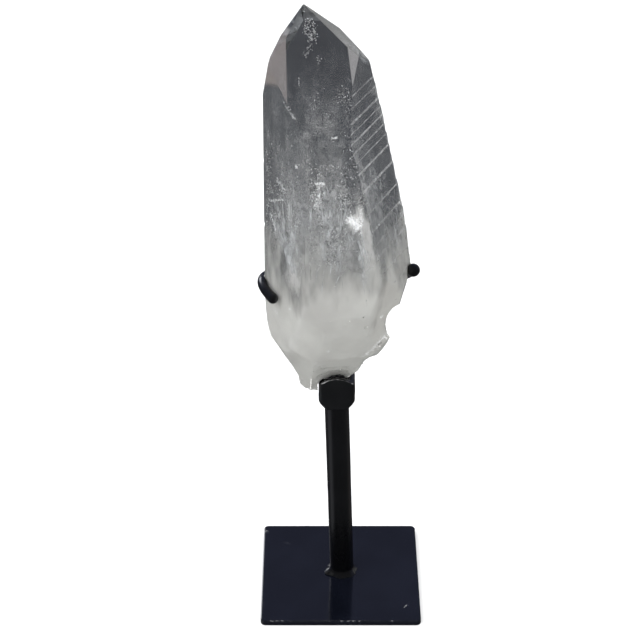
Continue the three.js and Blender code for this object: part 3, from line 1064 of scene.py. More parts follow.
@dataclass
class Studio:
    """Pale floor, soft lamps, and the grey room that the clear stone bends into view.

    The room changes its tone between two heights or two depths of the unit vector towards it.
    """

    floor_side: float = 12.0
    floor_tone: Colour = (0.9, 0.9, 0.9, 1.0)
    floor_shade: Colour = (0.88, 0.88, 0.885, 1.0)
    lamps: tuple[Lamp, ...] = (
        Lamp("key_lamp", (-1.1, -1.0, 1.3), (0.9, 0.8), 14.0),
        Lamp("top_lamp", (0.1, -0.5, 2.0), (1.2, 0.8), 12.0),
    )
    lamp_aim: Point = (0.0, 0.0, 0.18)
    sky_seen: float = 0.96
    room_level: Colour = (0.095, 0.098, 0.104, 1.0)
    room_below: Colour = (0.052, 0.054, 0.062, 1.0)
    room_front: Colour = (0.1, 0.1, 0.105, 1.0)
    room_behind: Colour = (0.165, 0.178, 0.275, 1.0)
    below_height: Span = (-0.4, -0.78)
    above_height: Span = (-0.1, 0.1)
    behind_depth: Span = (-0.5, 0.3)
    dome_height: Span = (-0.3, 0.5)
    dome_above: Colour = (1.12, 1.12, 1.12, 1.0)
    dome_below: Colour = (1.0, 1.0, 0.97, 1.0)
    cards: tuple[Card, ...] = (
        Card(16.5, -5.0, 4.0, 8.0, (0.36, 0.355, 0.345, 1.0)),
        Card(-34.0, 25.0, 8.0, 15.0, (7.6, 7.8, 8.2, 1.0)),
        Card(-100.0, -30.0, 8.0, 26.0, (0.42, 0.43, 0.46, 1.0)),
        Card(66.0, -47.5, 12.0, 14.5, (0.285, 0.25, 0.234, 1.0)),
        Card(-21.0, -51.0, 8.0, 11.0, (0.36, 0.35, 0.345, 1.0)),
        Card(3.0, -28.0, 11.0, 24.0, (0.062, 0.064, 0.07, 1.0)),
        Card(60.0, 13.0, 8.0, 18.0, (0.7, 0.7, 0.7, 1.0)),
    )

    def build(self) -> None:
        """Makes the floor, the lamps and the room, and sets how light is counted."""
        self.build_floor()
        for lamp in self.lamps:
            lamp.build(self.lamp_aim)
        self.build_room()
        scene = bpy.context.scene
        scene.view_settings.view_transform = "Standard"
        scene.cycles.max_bounces = 24
        scene.cycles.transmission_bounces = 20
        scene.cycles.glossy_bounces = 16
        scene.cycles.diffuse_bounces = 6
        scene.cycles.transparent_max_bounces = 32

    def build_floor(self) -> None:
        """A flat sheet with a barely uneven pale tone."""
        half = self.floor_side / 2
        corners = np.array([[-half, -half, 0], [half, -half, 0], [half, half, 0], [-half, half, 0]])
        floor = new_piece("floor", corners, [[0, 1, 2, 3]], smooth=False)
        material, board, shader, where = new_material("pale_floor")
        tone = board.blend(board.noise(where, 3.0), self.floor_tone, self.floor_shade)
        board.join(tone, shader.inputs["Base Color"])
        shader.inputs["Roughness"].default_value = 0.9
        floor.data.materials.append(material)
        floor.visible_transmission = False
        floor.visible_glossy = False

    def build_room(self) -> None:
        """Sets the room.

        It is pale to the camera and an even dome to lit surfaces. To gloss and to the clear stone it is a
        grey room with a few round patches.
        """
        world = bpy.data.worlds.new("room")
        world.use_nodes = True
        world.node_tree.nodes.clear()
        board = Board(world.node_tree)
        way = board.add("ShaderNodeTexCoord").outputs["Generated"]
        parts = board.add("ShaderNodeSeparateXYZ", in_0=way)
        height = parts.outputs["Z"]
        tone = board.blend(board.smooth(height, *self.below_height), self.room_level, self.room_below)
        behind = board.smooth(parts.outputs["Y"], *self.behind_depth)
        above = board.smooth(height, *self.above_height)
        front = board.math("MULTIPLY", above, board.math("SUBTRACT", 1.0, behind))
        tone = board.blend(front, tone, self.room_front)
        tone = board.blend(board.math("MULTIPLY", above, behind), tone, self.room_behind)
        for card in self.cards:
            reach = board.add("ShaderNodeVectorMath", operation="DOT_PRODUCT", in_0=way)
            reach.inputs[1].default_value = card.way()
            outer, inner = (math.cos(math.radians(angle)) for angle in (card.outer, card.inner))
            tone = board.blend(board.smooth(reach.outputs["Value"], outer, inner), tone, card.tone)
        path = board.add("ShaderNodeLightPath")
        dome = board.blend(board.smooth(height, *self.dome_height), self.dome_below, self.dome_above)
        lit = board.math("GREATER_THAN", path.outputs["Diffuse Depth"], 0.5)
        unseen = board.add("ShaderNodeBackground", in_Color=board.blend(lit, tone, dome))
        pale = board.add("ShaderNodeBackground", in_Color=WHITE_LIGHT, in_Strength=self.sky_seen)
        seen = path.outputs["Is Camera Ray"]
        both = board.add("ShaderNodeMixShader", in_0=seen, in_1=unseen.outputs[0], in_2=pale.outputs[0])
        board.add("ShaderNodeOutputWorld", in_Surface=both.outputs[0])
        bpy.context.scene.world = world


@dataclass(frozen=True)
class Spot:
    """A soft patch where the milk is denser or thinner: its middle, its radii and its strength."""

    middle_mm: Point
    radii_mm: Point
    strength: float

    def read(self, points: Array) -> Array:
        """Strength times a bell of the distance, measured in radii. Points are in millimetres."""
        away = (points - np.array(self.middle_mm)) / np.array(self.radii_mm)
        return self.strength * np.exp(-np.sum(away**2, axis=-1))


class Skin:
    """The body's surface, in millimetres, asked where a place lies against it."""

    def __init__(self, mesh: bpy.types.Mesh) -> None:
        """Builds the search tree from the body's faces."""
        faces = [tuple(face.vertices) for face in mesh.polygons]
        self.tree = BVHTree.FromPolygons((points_of(mesh) / MM).tolist(), faces)

    def nearest(self, places: Array) -> tuple[Array, Array]:
        """The surface point nearest to each place, and the outward normal there."""
        found = [self.tree.find_nearest(place)[:2] for place in places.tolist()]
        return np.array([spot for spot, _ in found]), np.array([normal for _, normal in found])

    def draw_in(self, places: Array, depth: float) -> Array:
        """Moves places to a depth under the nearest surface point."""
        spots, normals = self.nearest(places)
        return spots - normals * depth

    def holds(self, places: Array, margin: float) -> Array:
        """Whether each place lies inside the body, deeper than the margin."""
        spots, normals = self.nearest(places)
        return np.sum((places - spots) * normals, axis=1) < -margin


def face_axes(facing: float, rise: float) -> tuple[Array, Array, Array]:
    """Unit vectors out of a face, across it and up along it.

    Args:
        facing: Degrees that the face is turned from the front towards the right.
        rise: Degrees that it leans back from upright.

    Returns:
        The outward, across and up vectors.
    """
    turn, lean = math.radians(facing), math.radians(rise)
    outward = np.array([math.sin(turn) * math.cos(lean), -math.cos(turn) * math.cos(lean), math.sin(lean)])
    across = np.array([math.cos(turn), math.sin(turn), 0.0])
    return outward, across, np.cross(across, -outward)


def flakes_at(middle: Array, size: Array, rng: np.random.Generator) -> tuple[Array, Array]:
    """Small four-cornered flakes, each turned at random about its middle.

    Args:
        middle: Where the flakes sit, one row each, in millimetres.
        size: Half the length of each flake.
        rng: The random numbers to use.

    Returns:
        Points in millimetres and quads.
    """
    count = len(middle)
    first = rng.normal(0.0, 1.0, (count, 3))
    first /= np.linalg.norm(first, axis=1, keepdims=True)
    second = np.cross(first, rng.normal(0.0, 1.0, (count, 3)))
    second /= np.linalg.norm(second, axis=1, keepdims=True)
    reach = size[:, None]
    corners = [
        middle - first * reach,
        middle + second * reach * FLAKE_SIDES[0],
        middle + first * reach,
        middle - second * reach * FLAKE_SIDES[1],
    ]
    return np.stack(corners, axis=1).reshape(-1, 3), np.arange(count * 4).reshape(-1, 4)


@dataclass(frozen=True)
class Fan:
    """A bundle of thin curved streaks that spread from a root just under one face.

    Facing and slope are the face's turn and lean in degrees. The streaks lean and curl by degrees from the
    line straight up the face.
    """

    root_mm: Point
    facing: float
    lean: Span
    length_mm: Span
    scatter_mm: Span
    count: int
    width_mm: float
    depth_mm: float
    seed: int
    slope: float = 0.0
    curl: float = 9.0
    steps: int = 9
    widths: Span = (0.5, 1.3)
    depths: Span = (0.5, 2.2)

    def grid(self, skin: Skin) -> tuple[Array, Array]:
        """Ribbons along s from 0 to 1: across = root + s length sin(lean + curl s), up likewise with cos.

        The half width tapers as the square root of s (1 - s). A ribbon that would leave the stone goes.

        Args:
            skin: The body's surface.

        Returns:
            Points in millimetres and quads.
        """
        rng = np.random.default_rng(self.seed)
        outward, across, up = face_axes(self.facing, self.slope)
        steps = np.linspace(0.0, 1.0, self.steps)
        lean = np.radians(rng.uniform(*self.lean, self.count))[:, None]
        curl = np.radians(rng.normal(0.0, self.curl, self.count))[:, None]
        length = rng.uniform(*self.length_mm, self.count)[:, None]
        offset = rng.normal(0.0, 1.0, (self.count, 2)) * np.array(self.scatter_mm)
        way = lean + curl * steps
        side = offset[:, :1] + steps * length * np.sin(way)
        rise = offset[:, 1:] + steps * length * np.cos(way)
        taper = np.sqrt(steps * (1 - steps) + 0.01)
        half = self.width_mm * rng.uniform(*self.widths, self.count)[:, None] * taper
        depth = self.depth_mm * rng.uniform(*self.depths, self.count)[:, None] * (0.6 + 0.4 * steps)
        middle = np.array(self.root_mm) + side[..., None] * across + rise[..., None] * up
        middle = middle - depth[..., None] * outward
        square = np.stack([np.cos(way), -np.sin(way)], -1)
        edge = half[..., None] * (square[..., :1] * across + square[..., 1:] * up)
        points = np.stack([middle - edge, middle + edge], axis=2)
        inside = skin.holds(middle.reshape(-1, 3), LEAST_DEPTH).reshape(self.count, -1).all(axis=1)
        points = points[inside]
        quads = grid_faces(self.steps, 2, wrap=False)
        faces = quads[None] + (np.arange(len(points)) * self.steps * 2)[:, None, None]
        return points.reshape(-1, 3), faces.reshape(-1, 4)


@dataclass(frozen=True)
class Dust:
    """Fine pale and dark grains in a layer under one face, gathered in patches.

    The layer reaches across and up from a base on the face, and thins out towards its lower and upper ends.
    """

    base_mm: Point
    facing: float
    rise: float
    across_mm: Span
    up_mm: Span
    depth_mm: Span
    count: int
    size_mm: float
    dark_share: float
    patch_mm: float
    seed: int
    top_fade_mm: float = 10.0
    foot_fade_mm: float = 10.0
    patch_height: float = 0.55
    patch_edge: Span = (-0.25, 0.45)
    sizes: Span = (0.4, 1.5)
    dark_tones: Span = (0.0, 0.12)
    pale_tones: Span = (0.45, 1.0)

    def grid(self, skin: Skin) -> tuple[Array, Array, Array]:
        """Random places in the layer, kept where noise and the distance from the layer's ends allow.

        Args:
            skin: The body's surface, which no grain may leave.

        Returns:
            Points in millimetres, quads, and a tone for each point.
        """
        rng = np.random.default_rng(self.seed)
        outward, across, up = face_axes(self.facing, self.rise)
        u = rng.uniform(*self.across_mm, self.count)
        v = rng.uniform(*self.up_mm, self.count)
        depth = rng.uniform(*self.depth_mm, self.count)
        middle = np.array(self.base_mm) + u[:, None] * across + v[:, None] * up - depth[:, None] * outward
        drawn_up = np.array([1.0, 1.0, self.patch_height])
        patch = layered_noise(middle * drawn_up, self.patch_mm, 3, self.seed)
        low, high = self.up_mm
        ends = ease_between(v, low, low + self.foot_fade_mm)
        ends *= ease_between(-v, -high, -high + self.top_fade_mm)
        kept = rng.uniform(0.0, 1.0, self.count) < ease_between(patch, *self.patch_edge) * ends
        kept &= skin.holds(middle, LEAST_DEPTH)
        middle = middle[kept]
        left = len(middle)
        dark = rng.uniform(0.0, 1.0, left) < self.dark_share
        tone = np.where(dark, rng.uniform(*self.dark_tones, left), rng.uniform(*self.pale_tones, left))
        points, faces = flakes_at(middle, self.size_mm * rng.uniform(*self.sizes, left), rng)
        return points, faces, np.repeat(tone, 4)


@dataclass(frozen=True)
class Sparkle:
    """A cluster of small broken flakes scattered about a line of places just under the surface.

    A cluster that hugs is drawn to one depth under the surface. The painted_glint is the share of emission
    it gives: a painted highlight, not a lamp.
    """

    line_mm: tuple[Point, ...]
    spread_mm: float
    count: int
    size_mm: float
    seed: int
    hugs: bool = False
    painted_glint: float = 0.0
    scatter: Point = (1.0, 0.2, 1.0)
    hug_depth_mm: float = 0.3
    sizes: Span = (0.35, 1.25)

    def grid(self, skin: Skin) -> tuple[Array, Array]:
        """Flakes at random places along the line. Those that would leave the stone are dropped.

        Args:
            skin: The body's surface, which hugging flakes are drawn to.

        Returns:
            Points in millimetres and quads.
        """
        rng = np.random.default_rng(self.seed)
        line = np.array(self.line_mm, float)
        place_along = rng.uniform(0.0, max(len(line) - 1, 0), self.count)
        index = np.minimum(place_along.astype(int), max(len(line) - 2, 0))
        part = (place_along - index)[:, None]
        ahead = np.minimum(index + 1, len(line) - 1)
        middle = line[index] * (1 - part) + line[ahead] * part
        middle = middle + rng.normal(0.0, self.spread_mm, (self.count, 3)) * np.array(self.scatter)
        if self.hugs:
            middle = skin.draw_in(middle, self.hug_depth_mm)
        middle = middle[skin.holds(middle, LEAST_DEPTH)]
        return flakes_at(middle, self.size_mm * rng.uniform(*self.sizes, len(middle)), rng)


@dataclass(frozen=True)
class Cloud:
    """One layer of milk: the body's outline at every height, drawn in towards the middle by a factor."""

    name: str
    drawn_in: float
    heights_mm: tuple[float, ...]
    strengths: tuple[float, ...]
    grain: float
    patches: float
    share: float
    rings: int = 150
    columns: int = 240
    seed: int = 10


@dataclass(frozen=True)
class Window:
    """A side of the crystal where the milk is thinner above a height.

    It opens and closes between two pairs of angles from the front, which count to the right where the sign
    is 1 and to the left where it is -1. The share is how much of the milk it takes away.
    """

    sign: float
    opens: Span
    closes: Span
    above_mm: Span
    share: float

    def leaves(self, turned: Array, height: Array) -> Array:
        """The share of milk that stays: 1 less share times open times (1 - closed) times above.

        Args:
            turned: Degrees from the front to the right, one for each point.
            height: Heights of the points in millimetres.

        Returns:
            One share for each point.
        """
        angle = self.sign * turned
        inside = ease_between(angle, *self.opens) * (1 - ease_between(angle, *self.closes))
        return 1 - self.share * inside * ease_between(height, *self.above_mm)


@dataclass
class Crystal:
    """The quartz: its clear body and the milk, veils, streaks and flakes inside it."""

    fine_edge_mm: float = 1.6
    fine_below_mm: float = 196.0
    softening: float = 0.5
    soft_rounds: int = 16
    soft_top: Span = (0.15, 0.192)
    soft_foot: Span = (0.12, 0.134)
    soft_front: Span = (0.0, 0.009)
    firm_right: Span = (0.013, 0.018)
    firm_share: float = 0.85
    relief_mm: float = 0.3
    relief_cell_mm: float = 9.0
    relief_top: Span = (0.145, 0.182)
    sharp_angle: float = 14.0
    milk_depth_mm: float = 0.4
    milk_top_mm: float = 238.0
    ledge_facings: Point = (66.0, 127.0, -113.0)
    ledge_match: float = 0.995
    ledge_heights: Span = (0.178, 0.283)
    frost_depth_mm: float = 0.07
    middle_mm: Span = (-4.0, 2.0)
    wave_middle_mm: Span = (-6.0, 2.0)
    wave_cell_mm: float = 16.0
    wave_pull: float = 0.012
    wave_growth: float = 5.0
    cloud_foot_mm: float = 8.0
    windows: tuple[Window, ...] = (
        Window(1.0, (32.0, 46.0), (95.0, 112.0), (190.0, 210.0), 0.85),
        Window(-1.0, (30.0, 44.0), (95.0, 112.0), (212.0, 240.0), 0.6),
    )
    clouds: tuple[Cloud, ...] = (
        Cloud(
            "veil_outer", 0.965,
            (128, 165, 185, 197, 212, 230, 250, 262, 275, 288),
            (0.5, 0.6, 0.6, 0.46, 0.31, 0.26, 0.31, 0.2, 0.07, 0.0),
            1100.0, 110.0, 0.72,
        ),
        Cloud(
            "veil_middle", 0.74,
            (128, 170, 190, 205, 225, 245, 262, 280),
            (0.9, 0.9, 0.7, 0.5, 0.34, 0.2, 0.08, 0.0),
            500.0, 70.0, 0.7, 110, 180, seed=11,
        ),
        Cloud(
            "veil_inner", 0.42,
            (128, 175, 200, 220, 240, 258, 272),
            (1.0, 1.0, 0.8, 0.55, 0.3, 0.12, 0.0),
            300.0, 60.0, 0.75, 90, 120,
        ),
    )
    spots: tuple[Spot, ...] = (
        Spot((4.6, -21.2, 217.6), (3.0, 6.0, 4.2), 0.6),
        Spot((-10.5, -23.1, 236.2), (3.6, 5.0, 1.5), 0.4),
        Spot((-11.3, -23.1, 227.0), (1.8, 5.0, 8.0), 0.4),
        Spot((3.2, -19.0, 252.0), (4.5, 9.0, 20.0), -0.5),
        Spot((-27.0, -7.0, 256.0), (9.0, 9.0, 12.0), -0.12),
        Spot((22.0, -6.0, 235.0), (9.0, 12.0, 32.0), -0.45),
        Spot((27.0, -4.0, 205.0), (6.0, 8.0, 18.0), -0.35),
        Spot((7.6, -23.0, 222.0), (1.8, 4.0, 7.0), 0.8),
        Spot((10.4, -22.7, 211.0), (2.2, 4.0, 8.0), 1.1),
        Spot((12.0, -22.6, 198.0), (2.4, 4.0, 9.0), 1.1),
        Spot((13.5, -22.5, 186.0), (2.6, 4.0, 9.0), 0.9),
        Spot((-24.5, -13.5, 212.0), (2.6, 4.0, 10.0), 0.45),
        Spot((-31.0, -4.5, 212.0), (3.0, 4.0, 5.0), 0.35),
        Spot((25.0, -6.0, 203.0), (7.0, 9.0, 10.0), 0.45),
        Spot((-28.0, -7.0, 240.0), (8.0, 9.0, 9.0), 0.3),
        Spot((-17.3, -22.3, 219.0), (2.2, 3.5, 13.0), -0.5),
        Spot((-22.0, -15.0, 186.0), (4.5, 6.0, 10.0), 0.5),
        Spot((-32.5, -0.6, 173.0), (5.0, 6.0, 7.0), 0.4),
        Spot((15.0, -14.5, 217.0), (4.0, 4.0, 12.0), -0.4),
        Spot((19.5, -16.0, 196.0), (3.5, 4.0, 9.0), -0.45),
        Spot((26.5, -2.0, 190.0), (4.0, 6.0, 10.0), 0.55),
        Spot((24.0, -12.0, 179.0), (5.0, 6.0, 6.0), 0.4),
        Spot((-12.8, -21.8, 195.6), (3.0, 7.0, 7.0), -0.3),
        Spot((7.3, -20.0, 194.7), (3.5, 7.0, 7.0), -0.25),
        Spot((-29.5, -4.0, 192.0), (6.0, 8.0, 12.0), -1.1),
    )
    fans: tuple[Fan, ...] = (
        Fan((-23.8, -14.6, 188.0), LEFT, (-40.0, -8.0), (14.0, 42.0), (1.4, 4.0), 56, 0.5, 0.4, 5),
        Fan((-22.6, -16.4, 190.0), LEFT, (-5.0, 3.0), (20.0, 62.0), (1.6, 8.0), 30, 0.45, 0.4, 8),
        Fan((-5.0, -24.0, 196.0), FRONT, (-12.0, 14.0), (8.0, 30.0), (8.0, 10.0), 80, 0.4, 0.5, 13),
        Fan((-9.5, -24.4, 219.0), FRONT, (-14.0, 14.0), (5.0, 15.0), (3.4, 5.0), 40, 0.5, 0.5, 14),
        Fan((11.5, -22.5, 182.0), FRONT, (-7.0, -1.0), (12.0, 42.0), (1.0, 6.0), 40, 0.5, 0.4, 21),
        Fan((27.0, -2.6, 186.0), RIGHT, (-10.0, 14.0), (8.0, 26.0), (5.0, 5.0), 44, 0.4, 0.5, 34, 9.5),
    )
    tip_sparkles: tuple[Sparkle, ...] = (
        Sparkle(
            ((-15.4, 13.5, 300.9), (-16.8, 9.5, 296.5), (-14.0, 7.9, 293.7), (-16.7, 2.9, 287.7)),
            0.75, 230, 0.36, 2,
        ),
        Sparkle(((-13.6, 12.0, 299.5), (-12.4, 6.0, 293.0)), 0.8, 70, 0.45, 17),
        Sparkle(((-11.5, 2.6, 287.6), (-10.6, 0.0, 285.0)), 0.5, 24, 0.35, 18),
        Sparkle(((-18.0, 14.1, 305.2), (-17.4, 13.0, 304.4)), 0.3, 14, 0.3, 19, True),
    )
    # White flakes hugging the root: its white broken edges, and through their emission painted highlights
    # on its lower right.
    root_chips_and_highlights: tuple[Sparkle, ...] = (
        Sparkle(((19.1, -15.3, 164.2), (17.5, -15.8, 164.4)), 0.4, 24, 0.5, 41, True, 0.35),
        Sparkle(
            ((16.1, -14.3, 147.8), (19.0, -11.4, 148.8), (21.4, -8.9, 149.5)),
            1.1, 130, 0.55, 42, True, 0.35,
        ),
        Sparkle(
            ((9.5, -14.3, 140.6), (14.2, -15.6, 144.7), (18.0, -12.0, 147.0)),
            0.9, 120, 0.5, 43, True, 0.35,
        ),
        Sparkle(((-5.7, -19.3, 147.0), (-7.0, -19.5, 147.4)), 0.4, 12, 0.5, 44, True, 0.35),
        Sparkle(((-12.8, -17.7, 139.9), (-9.9, -14.7, 135.8)), 1.0, 26, 0.45, 45, True, 0.35),
        Sparkle(((-31.7, -3.4, 159.5), (-30.5, -4.5, 159.8)), 0.4, 14, 0.5, 46, True, 0.35),
        Sparkle(((-25.4, -12.5, 166.4), (-24.0, -14.0, 166.8)), 0.4, 14, 0.5, 47, True, 0.35),
        Sparkle(((4.5, -22.2, 160.7), (-11.3, -22.6, 156.6), (-29.9, -6.1, 152.9)), 2.6, 34, 0.3, 48, True),
    )
    # Flakes of inner fractures; those with a painted_glint above 0 glow as painted highlights.
    inner_sparkles: tuple[Sparkle, ...] = (
        Sparkle(((-19.8, -3.8, 280.5), (-19.8, -7.0, 276.0)), 0.25, 16, 0.4, 3),
        Sparkle(((-5.4, -21.1, 258.2), (-3.0, -20.9, 258.6)), 0.35, 30, 0.4, 4, painted_glint=0.3),
        Sparkle(
            ((3.1, -22.5, 219.3), (4.9, -22.3, 217.7), (7.2, -22.1, 214.5)),
            1.25, 340, 0.7, 6, painted_glint=0.55,
        ),
        Sparkle(((8.0, -22.2, 226.0), (8.6, -22.2, 210.4)), 0.45, 90, 0.45, 8, painted_glint=0.5),
        Sparkle(((-12.2, -24.0, 237.6), (-8.6, -23.7, 237.4)), 0.5, 80, 0.5, 7, painted_glint=0.45),
        Sparkle(
            ((-10.9, -23.9, 236.0), (-11.4, -24.0, 229.0), (-11.8, -24.0, 225.5)),
            0.75, 170, 0.5, 9, painted_glint=0.4,
        ),
        Sparkle(((-20.9, -17.9, 243.5), (-20.6, -18.2, 243.2)), 0.6, 40, 0.5, 10, painted_glint=0.4),
        Sparkle(((-26.5, -9.6, 271.2), (-21.2, -16.9, 265.3)), 0.25, 60, 0.4, 15),
        Sparkle(((-33.5, 0.3, 216.9), (-27.0, -9.1, 222.0)), 0.45, 100, 0.4, 11, painted_glint=0.45),
        Sparkle(((-33.2, -0.3, 211.0), (-30.5, -4.2, 203.5)), 0.4, 90, 0.45, 12, painted_glint=0.5),
        Sparkle(((-30.2, -4.7, 231.0), (-25.6, -11.3, 227.1)), 0.5, 80, 0.4, 16, painted_glint=0.4),
        Sparkle(
            ((-1.0, -22.9, 247.0), (4.0, -22.5, 240.0), (7.0, -22.2, 232.0)),
            1.9, 60, 0.4, 20, painted_glint=0.2,
        ),
    )
    dusts: tuple[Dust, ...] = (
        Dust(
            (-4.0, -24.0, 200.0), FRONT, 0.0, (-11.5, 9.0), (-8.0, 62.0), (0.25, 0.8),
            9400, 0.38, 0.45, 4.5, 61, top_fade_mm=30.0,
        ),
        Dust(
            (4.6, -23.2, 236.0), FRONT, 0.0, (-4.0, 3.4), (-12.0, 20.0), (0.25, 0.8),
            1500, 0.42, 0.86, 4.0, 65,
        ),
        Dust(
            (-27.6, -9.4, 200.0), LEFT, 0.0, (-13.5, 14.0), (-6.0, 62.0), (0.25, 0.8),
            6000, 0.38, 0.5, 5.0, 62, top_fade_mm=34.0,
        ),
        Dust(
            (-6.9, -17.5, 263.8), FRONT, TIP_LEAN, (-10.0, 12.0), (-12.0, 20.0), (0.3, 0.9),
            2300, 0.24, 0.5, 5.0, 63,
        ),
        Dust(
            (16.2, -7.2, 235.0), RIGHT, RIGHT_LEAN, (-10.0, 13.0), (-38.0, 38.0), (0.8, 2.2),
            1600, 0.2, 0.4, 7.0, 64,
        ),
    )

    def build(self, effects: Effects) -> None:
        """Makes the clear body and all that shows inside it.

        Args:
            effects: The shared node groups.
        """
        body = self.build_body()
        place(body, ClearQuartz().make(), Slot.QUARTZ, "quartz_point")
        milk = MilkyQuartz("milk", low=0.168, high=0.204, raggedness=0.024)
        place(self.build_milk(body), milk.make(effects), Slot.QUARTZ)
        place(self.build_frost(body), Frost().make(), Slot.QUARTZ)
        for cloud in self.clouds:
            veil = Veil(cloud.name, cloud.grain, cloud.patches, cloud.share)
            place(self.build_cloud(cloud, body), veil.make(effects), Slot.QUARTZ)
        skin = Skin(body.data)
        place(self.build_streaks(skin), Streaked().make(), Slot.QUARTZ)
        place(self.build_flakes(skin), Flaked().make(), Slot.QUARTZ)
        place(self.build_dust(skin), Dusty().make(), Slot.QUARTZ)

    def build_body(self) -> bpy.types.Object:
        """Copies the solid, softens its broken root and roughens it.

        Below the clear part each point moves a share of the way to the mean of its neighbours, many times
        over. The share fades out upwards, towards the seat, towards the back and at the right lobe. Then
        each point moves inward along its normal by the relief times layered noise, which grows from nothing
        at the top of the root.

        Returns:
            The clear body.
        """
        body = merged_copy("quartz_point", "crystal", self.fine_edge_mm * MM, self.fine_below_mm * MM)
        mesh = body.data
        points = points_of(mesh)
        ends = np.empty(len(mesh.edges) * 2, dtype=np.int32)
        mesh.edges.foreach_get("vertices", ends)
        ends = ends.reshape(-1, 2)
        touching = np.bincount(ends.ravel(), minlength=len(points))[:, None]
        x, y, z = points.T
        soft = self.softening * (1.0 - ease_between(z, *self.soft_top))
        soft *= ease_between(z, *self.soft_foot)
        soft *= ease_between(-y, *self.soft_front)
        soft *= 1.0 - self.firm_share * ease_between(x, *self.firm_right)
        soft = soft[:, None]
        for _ in range(self.soft_rounds):
            total = np.zeros_like(points)
            np.add.at(total, ends[:, 0], points[ends[:, 1]])
            np.add.at(total, ends[:, 1], points[ends[:, 0]])
            points += soft * (total / touching - points)
        move_points(mesh, points)
        rough = layered_noise(points, self.relief_cell_mm * MM, 4, 3)
        share = 1.0 - ease_between(points[:, 2], *self.relief_top)
        depth = self.relief_mm * MM * share * (0.9 + 0.9 * rough)
        points -= normals_of(mesh) * np.maximum(depth, 0.0)[:, None]
        move_points(mesh, points)
        mesh.shade_smooth()
        mesh.set_sharp_from_angle(angle=math.radians(self.sharp_angle))
        return body

    def build_milk(self, body: bpy.types.Object) -> bpy.types.Object:
        """A skin that follows the body a little way inside it, up to where the milk has thinned out.

        Args:
            body: The clear body.

        Returns:
            The milky skin.
        """
        mesh = body.data.copy()
        mesh.name = "milk"
        points = points_of(mesh) - normals_of(mesh) * self.milk_depth_mm * MM
        move_points(mesh, points)
        sheet = bmesh.new()
        sheet.from_mesh(mesh)
        bmesh.ops.bisect_plane(
            sheet,
            geom=[*sheet.verts, *sheet.edges, *sheet.faces],
            plane_co=(0.0, 0.0, self.milk_top_mm * MM),
            plane_no=(0.0, 0.0, 1.0),
            clear_outer=True,
        )
        sheet.to_mesh(mesh)
        sheet.free()
        mesh.shade_smooth()
        mesh.materials.clear()
        return new_object("milk", mesh)

    def build_frost(self, body: bpy.types.Object) -> bpy.types.Object:
        """The narrow ledge faces of the stepped sides, copied a hair's breadth under the surface.

        Args:
            body: The clear body.

        Returns:
            The frosted ledges.
        """
        sheet = bmesh.new()
        sheet.from_mesh(body.data)
        ledges = [face_axes(facing, TIP_LEAN)[0] for facing in self.ledge_facings]
        low, high = self.ledge_heights
        off = [
            face
            for face in sheet.faces
            if max(float(np.dot(face.normal, ledge)) for ledge in ledges) < self.ledge_match
            or not low < face.calc_center_median().z < high
        ]
        bmesh.ops.delete(sheet, geom=off, context="FACES")
        mesh = bpy.data.meshes.new("ledge_frost")
        sheet.to_mesh(mesh)
        sheet.free()
        move_points(mesh, points_of(mesh) - normals_of(mesh) * self.frost_depth_mm * MM)
        return new_object("ledge_frost", mesh)

    def build_cloud(self, cloud: Cloud, body: bpy.types.Object) -> bpy.types.Object:
        """A layer of milk inside the body.

        At each height the body's triangles are cut into line pieces. Each column's ray from the middle of
        that cut meets the nearest piece, and the layer lies at that distance times the factor.

        Args:
            cloud: The layer's sizes and strengths.
            body: The clear body.

        Returns:
            The layer, which stores its density at each point.
        """
        mesh = body.data
        corners = np.empty(len(mesh.loops), dtype=np.int32)
        mesh.loops.foreach_get("vertex_index", corners)
        triangles = points_of(mesh)[corners.reshape(-1, 3)] / MM
        heights = np.linspace(cloud.heights_mm[0], cloud.heights_mm[-1], cloud.rings)
        turn = np.linspace(0.0, 2 * np.pi, cloud.columns, endpoint=False)
        rays = np.stack([np.sin(turn), -np.cos(turn)], -1)
        rings = []
        for height in heights:
            above = triangles[..., 2] > height
            crossing = triangles[(above.any(axis=1)) & (~above.all(axis=1))]
            starts, stops = self.cut_lines(crossing, height)
            both = np.concatenate([starts, stops])
            middle = (both.min(axis=0) + both.max(axis=0)) / 2
            a, d = starts - middle, stops - starts
            spread = rays[:, None, 0] * d[:, 1] - rays[:, None, 1] * d[:, 0]
            spread = np.where(np.abs(spread) < TINY, TINY, spread)
            reach = (a[:, 0] * d[:, 1] - a[:, 1] * d[:, 0]) / spread
            along = (a[:, 0] * rays[:, None, 1] - a[:, 1] * rays[:, None, 0]) / spread
            met = (along > -SLACK) & (along < 1 + SLACK) & (reach > 0)
            nearest = np.where(met, reach, np.inf).min(axis=1)
            nearest = np.where(np.isfinite(nearest), nearest, 0.5)
            flat = middle + rays * (nearest * cloud.drawn_in)[:, None]
            rings.append(np.column_stack([flat, np.full(cloud.columns, height)]))
        points = np.concatenate(rings)
        wavy = layered_noise(points, self.wave_cell_mm, 2, cloud.seed)
        pull = self.wave_pull * (1.0 - cloud.drawn_in) * self.wave_growth * (wavy + 1.0)
        points[:, :2] += (np.array(self.wave_middle_mm) - points[:, :2]) * pull[:, None]
        veil = new_piece(cloud.name, points * MM, grid_faces(cloud.rings, cloud.columns, wrap=True))
        x, y, z = points.T
        turned = np.degrees(np.arctan2(x - self.middle_mm[0], self.middle_mm[1] - y))
        strength = np.interp(z, cloud.heights_mm, cloud.strengths)
        for window in self.windows:
            strength *= window.leaves(turned, z)
        strength = np.clip(strength + sum(spot.read(points) for spot in self.spots), 0.0, 1.0)
        foot = cloud.heights_mm[0]
        mark_points(veil, "milk", strength * ease_between(z, foot, foot + self.cloud_foot_mm))
        return veil

